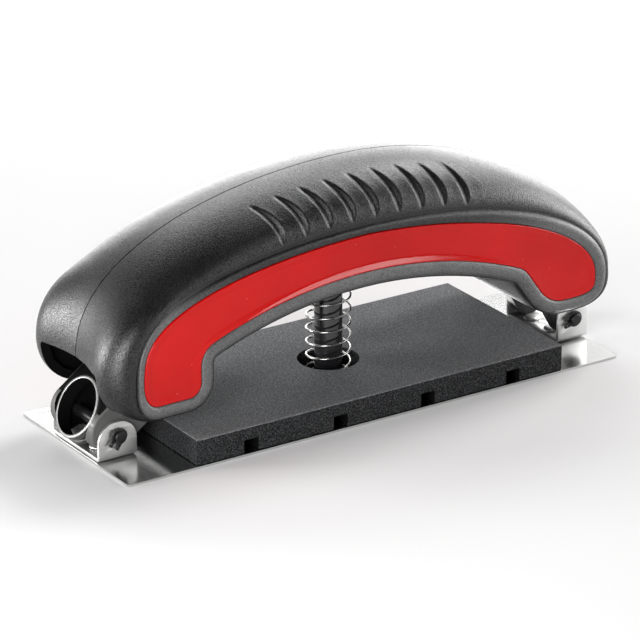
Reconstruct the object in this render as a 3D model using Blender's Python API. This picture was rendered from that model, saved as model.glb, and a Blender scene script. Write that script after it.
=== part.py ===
# Adjustable sanding block: a bridge-shaped handle on a spring-steel sole that bows to follow a curved surface.
# X runs along the sole, Y across it, Z up. The origin is the middle of the sole's underside. Units are metres.

import math

import bmesh
import bpy
from mathutils import Matrix, Vector

mm = 0.001

# Running and seating gaps
gap = 0.3 * mm
half_gap = 0.15 * mm
overrun = 2.0 * mm

# Sole plate
plate_length = 198.0 * mm
plate_width = 70.0 * mm
plate_thickness = 0.8 * mm
plate_corner = 1.2 * mm
sole_half = plate_length / 2

# Foam pad
pad_end_step = 25.1 * mm
pad_side_step = 0.4 * mm
pad_length = plate_length - 2 * pad_end_step
pad_width = plate_width - 2 * pad_side_step
pad_height = 9.0 * mm
pad_edge = 0.9 * mm
pad_bore = 21.4 * mm
channel_width = 5.6 * mm
channel_height = 4.6 * mm
channel_pitch = 35.3 * mm
channel_count = 4

# Guide column, its spring and its snap ring
column_x = 1.4 * mm
column_diameter = 9.7 * mm
column_top = 66.5 * mm
column_foot_diameter = 16.0 * mm
column_foot_height = 1.6 * mm
column_chamfer = 0.8 * mm
spring_outer = 16.0 * mm
spring_wire = 0.8 * mm
spring_pitch = 4.8 * mm
spring_end_pitch = 1.35 * mm
washer_thickness = 0.9 * mm
ring_groove_depth = 0.75 * mm
ring_thickness = 1.0 * mm
ring_width = 1.9 * mm

# Bush in the handle that slides on the column
bush_wall = 2.0 * mm
bush_flange_height = 1.8 * mm
bush_collar_height = 2.0 * mm
bush_length = 16.0 * mm
press_travel = 4.0 * mm

# End brackets, pins and rivets
bracket_thickness = 1.2 * mm
bracket_width = 31.0 * mm
bracket_bend = 1.6 * mm
bracket_edge_gap = 0.5 * mm
ear_height = 14.2 * mm
left_ear_corner = 6.6 * mm
right_ear_corner = 3.5 * mm
left_bracket_length = 14.4 * mm
right_bracket_length = 12.5 * mm
right_bracket_overhang = 1.0 * mm
pin_height = 9.5 * mm
pin_diameter = 4.0 * mm
pin_overhang = 2.5 * mm
pin_chamfer = 0.4 * mm
clip_thickness = 0.8 * mm
clip_width = 1.2 * mm
clip_lug = 1.6 * mm
clip_lug_share = 1.35
clip_mouth_share = 0.33
clip_groove_depth = 0.6 * mm
left_clip_mouth = 237.0
right_clip_mouth = 190.0
rivet_diameter = 3.0 * mm
rivet_head = 6.0 * mm
rivet_head_height = 0.9 * mm
rivet_spacing = 12.0 * mm
rivet_set_back = 2.0 * mm
rivet_relief = 5.3 * mm

# Yokes and the end sleeve
yoke_cheek = 4.4 * mm
left_yoke_length = 28.5 * mm
right_yoke_length = 21.5 * mm
left_yoke_rise = 1.4 * mm
left_yoke_swell = 1.0 * mm
left_yoke_lean = 36.0
right_yoke_lean = 120.0
yoke_edge = 0.7 * mm
yoke_play = 1.3 * mm
left_screw_reach = 23.5 * mm
right_screw_reach = 17.0 * mm
sleeve_outer = 22.0 * mm
sleeve_bore = 19.4 * mm
sleeve_collar = 0.4 * mm
sleeve_lip_length = 2.4 * mm
sleeve_length = 5.2 * mm
sleeve_lean = 30.0
sleeve_reach = 8.6 * mm
sleeve_offset = 2.2 * mm
sleeve_bore_depth = 12.5 * mm

# Handle, seen from the side: its ends are set out from the ends of the sole, so that it grows with the sole
crest_left_inset = 1.4 * mm
crest_right_overhang = 6.8 * mm
face_left_inset = 9.2 * mm
face_right_overhang = 1.3 * mm
left_foot_turn_inset = 19.8 * mm
right_foot_turn_inset = 14.0 * mm
left_foot_inner_inset = 38.8 * mm
right_foot_inner_inset = 25.6 * mm
arch_right_inset = 36.8 * mm
crest_x = 5.0 * mm
crest_height = 83.6 * mm
crest_left = crest_left_inset - sole_half
crest_right = sole_half + crest_right_overhang
crest_end_height = 32.6 * mm
crest_left_share = (2.0, 2.3)
crest_right_share = (2.0, 1.6)
face_x = 0.8 * mm
face_top = 66.8 * mm
face_left = face_left_inset - sole_half
face_right = sole_half + face_right_overhang
face_end_height = 28.8 * mm
face_left_share = (1.9, 2.9)
face_right_share = (2.0, 2.08)
left_corner_share = (2.4, 2.4)
right_corner_share = (2.8, 2.8)
left_foot_bottom = 16.4 * mm
right_foot_bottom = 17.6 * mm
left_foot_turn = left_foot_turn_inset - sole_half
right_foot_turn = sole_half - right_foot_turn_inset
left_foot_inner = left_foot_inner_inset - sole_half
right_foot_inner = sole_half - right_foot_inner_inset
arch_left = left_foot_inner
arch_right = sole_half - arch_right_inset
arch_spring_height = 33.2 * mm
arch_height = 45.4 * mm
left_foot_corner = 9.5 * mm
right_foot_corner = 17.0 * mm
left_arch_corner = 3.2 * mm
right_arch_corner = 5.5 * mm

# Handle, seen from the end
half_width = 25.0 * mm
end_flare = 2.5 * mm
end_bulge = 3.2 * mm
flare_length = 22.0 * mm
flare_share = 0.36
shoulder = 1.3 * mm
valley = 1.1 * mm
rim_proud = 1.3 * mm
rim_left_width = 3.0 * mm
rim_top_width = 2.8 * mm
rim_right_width = 4.8 * mm
rim_foot_width = 4.5 * mm
rim_arch_width = 5.2 * mm
rim_round = 1.2 * mm
crowding_share = 0.3
pocket_depth = 1.6 * mm
under_round = 1.0 * mm
dome_power = 2.12
left_end_power = 5.0
right_end_power = 2.2
under_power = 5.0
shell_wall = 2.8 * mm
inlay_crown = 0.5 * mm

# Notch at the left end, where the fork comes out
notch_width = 36.4 * mm
notch_depth = 15.0 * mm
notch_corner = 1.6 * mm
notch_top = 33.5 * mm

# Grip scallops
groove_count = 9
groove_pitch = 9.45 * mm
groove_first_x = -38.0 * mm
groove_first_lean = 5.4 * mm
groove_last_lean = 3.2 * mm
groove_bow = 1.5 * mm
groove_radius = 1.7 * mm
groove_depth = 1.3 * mm
groove_start_share = 0.35
groove_end_share = 0.93
groove_tip_share = 0.3
groove_rows = 9
groove_steps = 8
groove_sides = 10

# Shell screws and their bosses
screw_diameter = 3.0 * mm
screw_head = 5.6 * mm
screw_head_height = 1.8 * mm
screw_length = 40.0 * mm
boss_diameter = 7.4 * mm
left_span_screw = (-37.0 * mm, 51.5 * mm)
right_span_screw = (42.0 * mm, 52.0 * mm)

# Facets
top_steps = 18
corner_steps = 5
arch_steps = 12
rib_steps = 8
round_steps = 24
small_steps = 16
turn_points = 9

# Places worked out from the sizes above
deck = plate_thickness + gap
bracket_top = deck + bracket_thickness
ear_outer = bracket_width / 2
ear_inner = ear_outer - bracket_thickness
left_bracket_x = -sole_half + bracket_edge_gap + left_bracket_length / 2
right_bracket_x = sole_half + right_bracket_overhang - right_bracket_length / 2
left_pin_x = left_bracket_x
right_pin_x = right_bracket_x
left_rivet_x = left_bracket_x - rivet_set_back
right_rivet_x = right_bracket_x - rivet_set_back
yoke_radius = pin_height - bracket_top - gap
yoke_half = ear_inner - gap
pin_end = ear_outer + pin_overhang
column_radius = column_diameter / 2
column_foot_top = deck + column_foot_height
bush_bore = column_radius + gap
bush_radius = bush_bore + bush_wall
bush_flange_bottom = arch_height - under_round - gap - bush_flange_height
bush_bottom = bush_flange_bottom
bush_top = bush_bottom + bush_length
bush_collar_bottom = bush_bottom + bush_length / 2
bush_collar_radius = bush_radius + bush_wall
washer_bottom = bush_bottom - gap - washer_thickness
spring_bottom = column_foot_top + gap
spring_top = washer_bottom - gap
column_ring_bottom = bush_top + press_travel + gap
sleeve_outer_radius = sleeve_outer / 2


def make_material(name, colour, roughness, metallic):
    material = bpy.data.materials.new(name)
    material.use_nodes = True
    shader = material.node_tree.nodes["Principled BSDF"]
    shader.inputs["Base Color"].default_value = (*colour, 1.0)
    shader.inputs["Roughness"].default_value = roughness
    shader.inputs["Metallic"].default_value = metallic
    material.diffuse_color = (*colour, 1.0)
    return material


def add_object(name, bm, material=None, smooth=40.0):
    """Closes a bmesh into a named object; with no material it is a cutter that the build leaves out."""
    bmesh.ops.recalc_face_normals(bm, faces=bm.faces[:])
    mesh = bpy.data.meshes.new(name)
    bm.to_mesh(mesh)
    bm.free()
    mesh.shade_smooth()
    mesh.set_sharp_from_angle(angle=math.radians(smooth))
    thing = bpy.data.objects.new(name, mesh)
    bpy.context.scene.collection.objects.link(thing)
    if material is None:
        thing.hide_render = True
        thing.display_type = "WIRE"
    else:
        mesh.materials.append(material)
    return thing


def boolean(target, tool, operation):
    modifier = target.modifiers.new(tool.name, "BOOLEAN")
    modifier.operation = operation
    modifier.solver = "EXACT"
    modifier.object = tool
    return modifier


def cut(target, tool):
    return boolean(target, tool, "DIFFERENCE")


def join(target, tool):
    return boolean(target, tool, "UNION")


def bridge_rows(bm, rows):
    for low, high in zip(rows, rows[1:]):
        count = len(low)
        for i in range(count):
            j = (i + 1) % count
            bm.faces.new((low[i], low[j], high[j], high[i]))


def add_rows(bm, rings, closed_ends=True):
    """Lofts closed rings of points, and caps the first and the last."""
    rows = [[bm.verts.new(point) for point in ring] for ring in rings]
    bridge_rows(bm, rows)
    if closed_ends:
        bm.faces.new(rows[0])
        bm.faces.new(list(reversed(rows[-1])))
    return rows


def turned(bm, profile, steps, matrix=None):
    """Turns (radius, height) points round Z; the profile starts and ends on the axis or closes on itself."""
    on_axis = profile[0][0] == 0.0
    points = profile[1:-1] if on_axis else profile + [profile[0]]
    rings = []
    for radius, height in points:
        ring = []
        for i in range(steps):
            turn = 2 * math.pi * i / steps
            ring.append(Vector((radius * math.cos(turn), radius * math.sin(turn), height)))
        rings.append(ring)
    if matrix is not None:
        rings = [[matrix @ point for point in ring] for ring in rings]
    if on_axis:
        add_rows(bm, rings)
        return
    rows = [[bm.verts.new(point) for point in ring] for ring in rings[:-1]]
    bridge_rows(bm, rows + [rows[0]])


def prism(bm, outline, low, high):
    """Extrudes an (x, z) outline along Y from low to high."""
    add_rows(bm, [[Vector((x, y, z)) for x, z in outline] for y in (low, high)])


def box(bm, low, high):
    outline = [(low[0], low[2]), (high[0], low[2]), (high[0], high[2]), (low[0], high[2])]
    prism(bm, outline, low[1], high[1])


def along_y(x, z, side=1.0):
    """Carries a piece turned round Z to an axis along Y (or along -Y with side -1) through (x, z)."""
    return Matrix.Translation((x, 0.0, z)) @ Matrix.Rotation(-side * math.pi / 2, 4, "X")


def rod(bm, x, z, radius, low, high, steps=small_steps):
    turned(bm, [(0.0, low), (radius, low), (radius, high), (0.0, high)], steps, along_y(x, z))


def rounded_rectangle(centre, size, radius, steps=3):
    points = []
    half = (size[0] / 2 - radius, size[1] / 2 - radius)
    for quarter, (sx, sy) in enumerate(((1, 1), (-1, 1), (-1, -1), (1, -1))):
        for i in range(steps + 1):
            turn = math.pi / 2 * (quarter + i / steps)
            x = centre[0] + sx * half[0] + radius * math.cos(turn)
            y = centre[1] + sy * half[1] + radius * math.sin(turn)
            points.append((x, y))
    return points


# Outlines of the handle

def smoothstep(value):
    value = min(max(value, 0.0), 1.0)
    return value * value * (3 - 2 * value)

def super_arc(centre, reach, powers, start, end, steps):
    """Part of a rounded-square curve: start and end are angles in degrees, from the +X side towards +Z."""
    points = []
    for i in range(steps):
        turn = math.radians(start + (end - start) * i / steps)
        c, s = math.cos(turn), math.sin(turn)
        x = math.copysign(abs(c) ** (2 / powers[0]), c)
        z = math.copysign(abs(s) ** (2 / powers[1]), s)
        points.append(Vector((centre[0] + reach[0] * x, centre[1] + reach[1] * z)))
    return points


def fillet(before, corner, after, radius, steps):
    """Rounds one corner of a path with an arc."""
    a = (before - corner).normalized()
    b = (after - corner).normalized()
    half = a.angle(b) / 2
    start = corner + a * (radius / math.tan(half))
    middle = corner + (a + b).normalized() * (radius / math.sin(half))
    first = start - middle
    turn = math.pi - 2 * half
    if a.x * b.y - a.y * b.x > 0:
        turn = -turn
    points = []
    for i in range(steps + 1):
        angle = turn * i / steps
        c, s = math.cos(angle), math.sin(angle)
        points.append(middle + Vector((c * first.x - s * first.y, s * first.x + c * first.y)))
    return points


def arch_curve(steps):
    """The underside of the arch, right to left: a shallow arc through both springing points."""
    left = Vector((arch_left, arch_spring_height))
    right = Vector((arch_right, arch_spring_height))
    middle_x = (arch_left + arch_right) / 2
    half = (arch_right - arch_left) / 2
    rise = arch_height - arch_spring_height
    radius = (half * half + rise * rise) / (2 * rise)
    spread = math.asin(half / radius)
    points = [right]
    for i in range(1, steps):
        turn = spread * (1 - 2 * i / steps)
        x = middle_x + radius * math.sin(turn)
        points.append(Vector((x, arch_height - radius * (1 - math.cos(turn)))))
    return points + [left]


def face_outline(top, corner, arch):
    """The outer edge of the rim on the side of the handle, clockwise from the left end, with how far along it is
    dome (1) or underside (0) and how much it is an end (1) or the top (0)."""
    points, dome, end = [], [], []

    def extend(new, dome_values, end_values):
        points.extend(new)
        dome.extend(dome_values)
        end.extend(end_values)

    left_reach = (face_x - face_left, face_top - face_end_height)
    right_reach = (face_right - face_x, face_top - face_end_height)
    middle = (face_x, face_end_height)
    fade = [-smoothstep(1 - i / top / flare_share) for i in range(top)]
    extend(super_arc(middle, left_reach, face_left_share, 180, 90, top), [1.0] * top, fade)
    rise = [math.sin(math.pi / 2 * i / top) ** 2 for i in range(top)]
    extend(super_arc(middle, right_reach, face_right_share, 90, 0, top), [1.0] * top, rise)
    corner_reach = (face_right - right_foot_turn, face_end_height - right_foot_bottom)
    going = [1 - i / corner for i in range(corner)]
    extend(super_arc((right_foot_turn, face_end_height), corner_reach, right_corner_share, 0, -90, corner),
           going, [1.0] * corner)
    arc = arch_curve(arch)
    before = Vector((right_foot_turn, right_foot_bottom))
    foot = Vector((right_foot_inner, right_foot_bottom))
    lower = [before] + fillet(before, foot, arc[0], right_foot_corner, corner)
    lower += fillet(foot, arc[0], arc[1], right_arch_corner, corner - 1)
    lower += arc[1:-1]
    foot = Vector((left_foot_inner, left_foot_bottom))
    lower += fillet(arc[-2], arc[-1], foot, left_arch_corner, corner - 1)
    after = Vector((left_foot_turn, left_foot_bottom))
    lower += fillet(arc[-1], foot, after, left_foot_corner, corner)
    extend(lower, [0.0] * len(lower), [0.0] * len(lower))
    corner_reach = (left_foot_turn - face_left, face_end_height - left_foot_bottom)
    coming = [i / corner for i in range(corner)]
    extend(super_arc((left_foot_turn, face_end_height), corner_reach, left_corner_share, 270, 180, corner),
           coming, [-1.0] * corner)
    return points, dome, end


def crest_outline(face, dome, top, corner):
    """The middle-plane outline, point for point with the face outline."""
    left_reach = (crest_x - crest_left, crest_height - crest_end_height)
    right_reach = (crest_right - crest_x, crest_height - crest_end_height)
    middle = (crest_x, crest_end_height)
    points = super_arc(middle, left_reach, crest_left_share, 180, 90, top)
    points += super_arc(middle, right_reach, crest_right_share, 90, 0, top)
    bottom = right_foot_bottom - under_round
    reach = (crest_right - right_foot_turn, crest_end_height - bottom)
    points += super_arc((right_foot_turn, crest_end_height), reach, right_corner_share, 0, -90, corner)
    normals = outline_normals(face)
    tail = len(face) - corner
    for i in range(2 * top + corner, tail):
        points.append(face[i] + normals[i] * under_round)
    bottom = left_foot_bottom - under_round
    reach = (left_foot_turn - crest_left, crest_end_height - bottom)
    points += super_arc((left_foot_turn, crest_end_height), reach, left_corner_share, 270, 180, corner)
    return points


def outline_normals(points):
    normals = []
    count = len(points)
    for i in range(count):
        ahead = (points[(i + 1) % count] - points[i]).normalized()
        behind = (points[i] - points[i - 1]).normalized()
        along = (ahead + behind).normalized()
        normals.append(Vector((-along.y, along.x)))
    return normals


def shell_rings(top, corner, arch, ribs, inset=0.0):
    """The rings of one half of the handle, from the middle plane out to the rim's foot. With an inset the
    same rings give the hollow."""
    face, dome, end = face_outline(top, corner, arch)
    crest = crest_outline(face, dome, top, corner)
    normals = outline_normals(face)
    crest_normals = outline_normals(crest)
    rings = []
    for row in range(ribs + 1):
        turn = math.pi / 2 * row / ribs
        ring = []
        for i, (rim, seam) in enumerate(zip(face, crest)):
            left, right = max(-end[i], 0.0), max(end[i], 0.0)
            power = dome_power + (left_end_power - dome_power) * left + (right_end_power - dome_power) * right
            power = under_power + (power - under_power) * dome[i]
            out = math.sin(turn) ** (2 / power)
            over = 1 - max(math.cos(turn), 0.0) ** (2 / power)
            ridge = rim + normals[i] * (shoulder * dome[i] * (1 - right) - inset)
            start = seam - crest_normals[i] * inset
            place = start + (ridge - start) * over
            place = place - Vector((1.0, 0.0)) * (end_bulge * left * dome[i] * math.sin(math.pi * out * out))
            flare = smoothstep((crest_left + flare_length - start.x) / flare_length) * dome[i]
            width = half_width + end_flare * flare - inset
            ring.append(Vector((place.x, -half_gap - (width - half_gap) * out, place.y)))
        rings.append(ring)
    return face, dome, end, normals, rings


def rim_widths(count, top, corner):
    """The rim's width point by point: narrow over the top and the left end, wide along the feet and the arch."""
    lower = count - 2 * top - 2 * corner
    widths = [rim_left_width + (rim_top_width - rim_left_width) * i / top for i in range(top)]
    widths += [rim_top_width + (rim_right_width - rim_top_width) * i / top for i in range(top)]
    widths += [rim_right_width + (rim_foot_width - rim_right_width) * i / corner for i in range(corner)]
    for i in range(lower):
        widths.append(rim_foot_width + (rim_arch_width - rim_foot_width) * math.sin(math.pi * i / lower))
    widths += [rim_foot_width + (rim_left_width - rim_foot_width) * smoothstep(i / corner) for i in range(corner)]
    return widths


def inset_ring(face, normals, distances, depth):
    """Moves the outline inwards, and evens out the points that crowd together in a tight corner."""
    flat = [point - normal * distance for point, normal, distance in zip(face, normals, distances)]
    count = len(flat)
    for _ in range(corner_steps):
        tight = set()
        for i in range(count):
            j = (i + 1) % count
            if (flat[j] - flat[i]).dot(face[j] - face[i]) < crowding_share * (face[j] - face[i]).length_squared:
                tight.update((i, j))
        flat = [(flat[i - 1] + flat[(i + 1) % count]) / 2 if i in tight else flat[i] for i in range(count)]
    return [Vector((point.x, -depth, point.y)) for point in flat]


def mirror_rings(rings, side):
    if side < 0:
        return rings
    return [[Vector((p.x, -p.y, p.z)) for p in ring] for ring in rings]


def handle_blank(side):
    """Outer form of one half: dome, shoulder, proud rim and the pocket for the inlay."""
    face, dome, end, normals, rings = shell_rings(top_steps, corner_steps, arch_steps, rib_steps)
    count = len(face)
    widths = rim_widths(count, top_steps, corner_steps)
    floor = half_width - pocket_depth
    top = half_width + rim_proud
    hollow = [valley * d * (1 - max(e, 0.0)) for d, e in zip(dome, end)]
    low = [half_width - h for h in hollow]
    ring = inset_ring(face, normals, [-half_gap] * count, half_width)
    for i in range(count):
        ring[i].y = -low[i]
    rings.append(ring)
    rings.append(inset_ring(face, normals, [rim_round / 2] * count, half_width + rim_proud * 0.8))
    rings.append(inset_ring(face, normals, [rim_round] * count, top))
    rings.append(inset_ring(face, normals, [w - rim_round / 2 for w in widths], top))
    rings.append(inset_ring(face, normals, widths, top - rim_round / 3))
    rings.append(inset_ring(face, normals, widths, floor))
    bm = bmesh.new()
    add_rows(bm, mirror_rings(rings, side))
    return bm


def handle_hollow(side):
    """The space inside one half."""
    face, dome, end, normals, rings = shell_rings(top_steps // 2, corner_steps - 2, arch_steps // 2,
                                                 rib_steps - 2, shell_wall)
    depth = half_width - pocket_depth - shell_wall
    rings = [[Vector((p.x, max(p.y, -depth), p.z)) for p in ring] for ring in rings]
    first = [Vector((p.x, overrun, p.z)) for p in rings[0]]
    kept = [first] + rings[1:-1]
    flat = [Vector((p.x, -depth, p.z)) for p in rings[-1]]
    while kept and all(abs(p.y + depth) < half_gap for p in kept[-1]):
        kept.pop()
    bm = bmesh.new()
    add_rows(bm, mirror_rings(kept + [flat], side))
    return bm


def yoke_outline(pin_x, lean, length, rise, swell, grow=0.0):
    """Side view of a yoke: a round nose about the pin, and an arm that leans up into the handle. The nose is
    wider by the swell, and its middle lies above the pin by the rise."""
    along = Vector((math.cos(math.radians(lean)), math.sin(math.radians(lean))))
    across = Vector((-along.y, along.x))
    radius = yoke_radius + swell + grow
    pin = Vector((pin_x, pin_height)) + across * rise
    points = [pin + along * (length + grow) - across * radius, pin + along * (length + grow) + across * radius]
    for i in range(corner_steps * 2 + 1):
        turn = math.pi * i / (corner_steps * 2)
        points.append(pin + across * (radius * math.cos(turn)) - along * (radius * math.sin(turn)))
    return [(p.x, p.y) for p in points]


def yoke_point(pin_x, lean, reach):
    turn = math.radians(lean)
    return (pin_x + reach * math.cos(turn), pin_height + reach * math.sin(turn))


def screw_places():
    return {
        "shell_screw_left_foot": yoke_point(left_pin_x, left_yoke_lean, left_screw_reach),
        "shell_screw_left_span": left_span_screw,
        "shell_screw_right_span": right_span_screw,
        "shell_screw_right_foot": yoke_point(right_pin_x, right_yoke_lean, right_screw_reach),
    }


def screw_head_outer():
    return half_width - pocket_depth


def on_ring(ring, upper, x):
    """The point of one rib row that lies at x, between the two columns on either side of it."""
    for i in range(upper - 1):
        if ring[i].x <= x <= ring[i + 1].x:
            return ring[i].lerp(ring[i + 1], (x - ring[i].x) / (ring[i + 1].x - ring[i].x))
    return ring[upper // 2].copy()


def grip_cutter(side):
    """Scallops down the dome's side: each is a tapered tube laid from near the crest to near the rim, bowed
    towards the right end."""
    rings = shell_rings(top_steps * 4, corner_steps, arch_steps, groove_rows * 4)[4]
    upper = top_steps * 4 * 2
    bm = bmesh.new()
    for number in range(groove_count):
        top_x = groove_first_x + groove_pitch * number
        lean = groove_first_lean + (groove_last_lean - groove_first_lean) * number / (groove_count - 1)
        tube = []
        for step in range(groove_steps + 1):
            share = step / groove_steps
            bow = groove_bow * 4 * share * (1 - share)
            row = (groove_start_share + (groove_end_share - groove_start_share) * share) * (len(rings) - 1)
            low, part = int(row), row - int(row)
            x = top_x + lean * share + bow
            here = on_ring(rings[low], upper, x).lerp(on_ring(rings[low + 1], upper, x), part)
            down = (on_ring(rings[low + 2], upper, x) - on_ring(rings[low - 1], upper, x)).normalized()
            ahead = (on_ring(rings[low], upper, x + groove_radius) - on_ring(rings[low], upper, x - groove_radius))
            out = ahead.cross(down).normalized()
            if out.z < 0:
                out = -out
            across = out.cross(down).normalized()
            swell = groove_tip_share + (1 - groove_tip_share) * math.sin(math.pi * share)
            radius = groove_radius * swell
            centre = here + out * (radius - groove_depth * swell)
            ring = []
            for k in range(groove_sides):
                turn = 2 * math.pi * k / groove_sides
                ring.append(centre + across * (radius * math.cos(turn)) + out * (radius * math.sin(turn)))
            tube.append(ring)
        add_rows(bm, mirror_rings(tube, side))
    return bm


def make_shell(name, side, material):
    shell = add_object(name, handle_blank(side), material)
    cut(shell, add_object(name + "_hollow", handle_hollow(side)))
    wall = half_width - pocket_depth - shell_wall / 2

    bosses = bmesh.new()
    for screw, (x, z) in screw_places().items():
        ends = sorted((side * wall, side * (half_gap if "span" in screw else yoke_half + gap)))
        rod(bosses, x, z, boss_diameter / 2, ends[0], ends[1])
    housing = bush_collar_radius + shell_wall
    ends = sorted((side * half_gap, side * housing))
    bottom = arch_height - under_round - overrun
    box(bosses, (column_x - housing, ends[0], bottom + overrun * 1.5),
        (column_x + housing, ends[1], bush_top + gap))
    join(shell, add_object(name + "_bosses", bosses))

    holes = bmesh.new()
    for x, z in screw_places().values():
        if side < 0:
            rod(holes, x, z, screw_diameter / 2 + gap, -half_width, overrun)
        else:
            rod(holes, x, z, screw_diameter / 2 + gap, -overrun, screw_length - screw_head_outer())
    cut(shell, add_object(name + "_screw_holes", holes))
    if side < 0:
        seats = bmesh.new()
        for x, z in screw_places().values():
            rod(seats, x, z, screw_head / 2 + gap, -half_width - rim_proud, -screw_head_outer() + screw_head_height + gap)
        cut(shell, add_object(name + "_screw_seats", seats))

    bore = bmesh.new()
    low, high = bush_bottom - overrun, bush_top + overrun
    collar = bush_collar_radius + gap
    profile = [(0.0, low), (bush_radius + gap, low), (bush_radius + gap, bush_collar_bottom - gap),
               (collar, bush_collar_bottom - gap), (collar, bush_collar_bottom + bush_collar_height + gap),
               (bush_radius + gap, bush_collar_bottom + bush_collar_height + gap), (bush_radius + gap, high),
               (0.0, high)]
    turned(bore, profile, round_steps, Matrix.Translation((column_x, 0.0, 0.0)))
    cut(shell, add_object(name + "_bore", bore))

    for pin_x, lean, length, rise, swell in (
            (right_pin_x, right_yoke_lean, right_yoke_length, 0.0, 0.0),
            (left_pin_x, left_yoke_lean, left_yoke_length, left_yoke_rise, left_yoke_swell)):
        way = bmesh.new()
        outline = yoke_outline(pin_x, lean, length, rise, swell, yoke_play)
        prism(way, outline, -(yoke_half + gap), yoke_half + gap)
        cut(shell, add_object(name + "_way_" + str(int(lean)), way))
    ways = bmesh.new()
    inside = -plate_length / 2 + bracket_edge_gap + notch_depth + overrun / 2
    outline = rounded_rectangle((0.0, 0.0), (notch_width, notch_top * 2), notch_corner)
    add_rows(ways, [[Vector((x, a, b)) for a, b in outline] for x in (crest_left * 1.2, inside)])
    cut(shell, add_object(name + "_notch", ways))
    cut(shell, add_object(name + "_grip", grip_cutter(side)))
    return shell


def make_inlay(name, side, material):
    face, dome, end, normals, rings = shell_rings(top_steps, corner_steps, arch_steps, rib_steps)
    widths = [w + gap for w in rim_widths(len(face), top_steps, corner_steps)]
    back = half_width - pocket_depth + gap
    front = half_width + rim_proud - rim_round / 2
    rows = [inset_ring(face, normals, widths, back),
            inset_ring(face, normals, widths, front - inlay_crown),
            inset_ring(face, normals, [w + rim_round / 2 for w in widths], front)]
    bm = bmesh.new()
    add_rows(bm, mirror_rings(rows, side))
    return add_object(name, bm, material)


def make_plate(material):
    bm = bmesh.new()
    outline = rounded_rectangle((0.0, 0.0), (plate_length, plate_width), plate_corner)
    add_rows(bm, [[Vector((x, y, z)) for x, y in outline] for z in (0.0, plate_thickness)])
    plate = add_object("base_plate", bm, material)
    holes = bmesh.new()
    for x in (left_rivet_x, right_rivet_x):
        for y in (-rivet_spacing / 2, rivet_spacing / 2):
            radius = rivet_diameter / 2 + gap
            turned(holes, [(0.0, -overrun), (radius, -overrun), (radius, overrun), (0.0, overrun)],
                   small_steps, Matrix.Translation((x, y, 0.0)))
    cut(plate, add_object("plate_holes", holes))
    return plate


def make_pad(material):
    bm = bmesh.new()
    levels = [(0.0, 0.0), (pad_height - pad_edge, 0.0), (pad_height - pad_edge * 0.3, pad_edge * 0.3),
              (pad_height, pad_edge)]
    rings = []
    for height, inward in levels:
        size = (pad_length - 2 * inward, pad_width - 2 * inward)
        outline = rounded_rectangle((column_x, 0.0), size, plate_corner)
        rings.append([Vector((x, y, deck + height)) for x, y in outline])
    add_rows(bm, rings)
    pad = add_object("flex_pad", bm, material)
    cuts = bmesh.new()
    for i in range(channel_count):
        x = column_x + channel_pitch * (i - (channel_count - 1) / 2)
        box(cuts, (x - channel_width / 2, -pad_width, deck - overrun),
            (x + channel_width / 2, pad_width, deck + channel_height))
    cut(pad, add_object("pad_channels", cuts))
    bore = bmesh.new()
    turned(bore, [(0.0, -overrun), (pad_bore / 2, -overrun), (pad_bore / 2, deck + pad_height + overrun),
                  (0.0, deck + pad_height + overrun)], round_steps + 8, Matrix.Translation((column_x, 0.0, 0.0)))
    cut(pad, add_object("pad_bore_cutter", bore))
    return pad


def make_column(material):
    groove_low = column_ring_bottom - gap
    groove_high = column_ring_bottom + ring_thickness + gap
    groove = column_radius - ring_groove_depth
    profile = [(0.0, deck), (column_foot_diameter / 2, deck),
               (column_foot_diameter / 2, column_foot_top - column_chamfer / 2),
               (column_foot_diameter / 2 - column_chamfer / 2, column_foot_top), (column_radius, column_foot_top),
               (column_radius, groove_low), (groove, groove_low), (groove, groove_high),
               (column_radius, groove_high), (column_radius, column_top - column_chamfer),
               (column_radius - column_chamfer, column_top), (0.0, column_top)]
    bm = bmesh.new()
    turned(bm, profile, round_steps, Matrix.Translation((column_x, 0.0, 0.0)))
    return add_object("guide_column", bm, material)


def make_bush(material):
    collar_top = bush_collar_bottom + bush_collar_height
    profile = [(bush_bore, bush_bottom), (bush_collar_radius, bush_bottom),
               (bush_collar_radius, bush_bottom + bush_flange_height), (bush_radius, bush_bottom + bush_flange_height),
               (bush_radius, bush_collar_bottom), (bush_collar_radius, bush_collar_bottom),
               (bush_collar_radius, collar_top), (bush_radius, collar_top), (bush_radius, bush_top),
               (bush_bore, bush_top)]
    bm = bmesh.new()
    turned(bm, profile, round_steps, Matrix.Translation((column_x, 0.0, 0.0)))
    return add_object("guide_bush", bm, material)


def make_washer(material):
    outer = spring_outer / 2 + gap
    profile = [(bush_bore, washer_bottom), (outer, washer_bottom), (outer, washer_bottom + washer_thickness),
               (bush_bore, washer_bottom + washer_thickness)]
    bm = bmesh.new()
    turned(bm, profile, round_steps, Matrix.Translation((column_x, 0.0, 0.0)))
    return add_object("spring_washer", bm, material)


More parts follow.
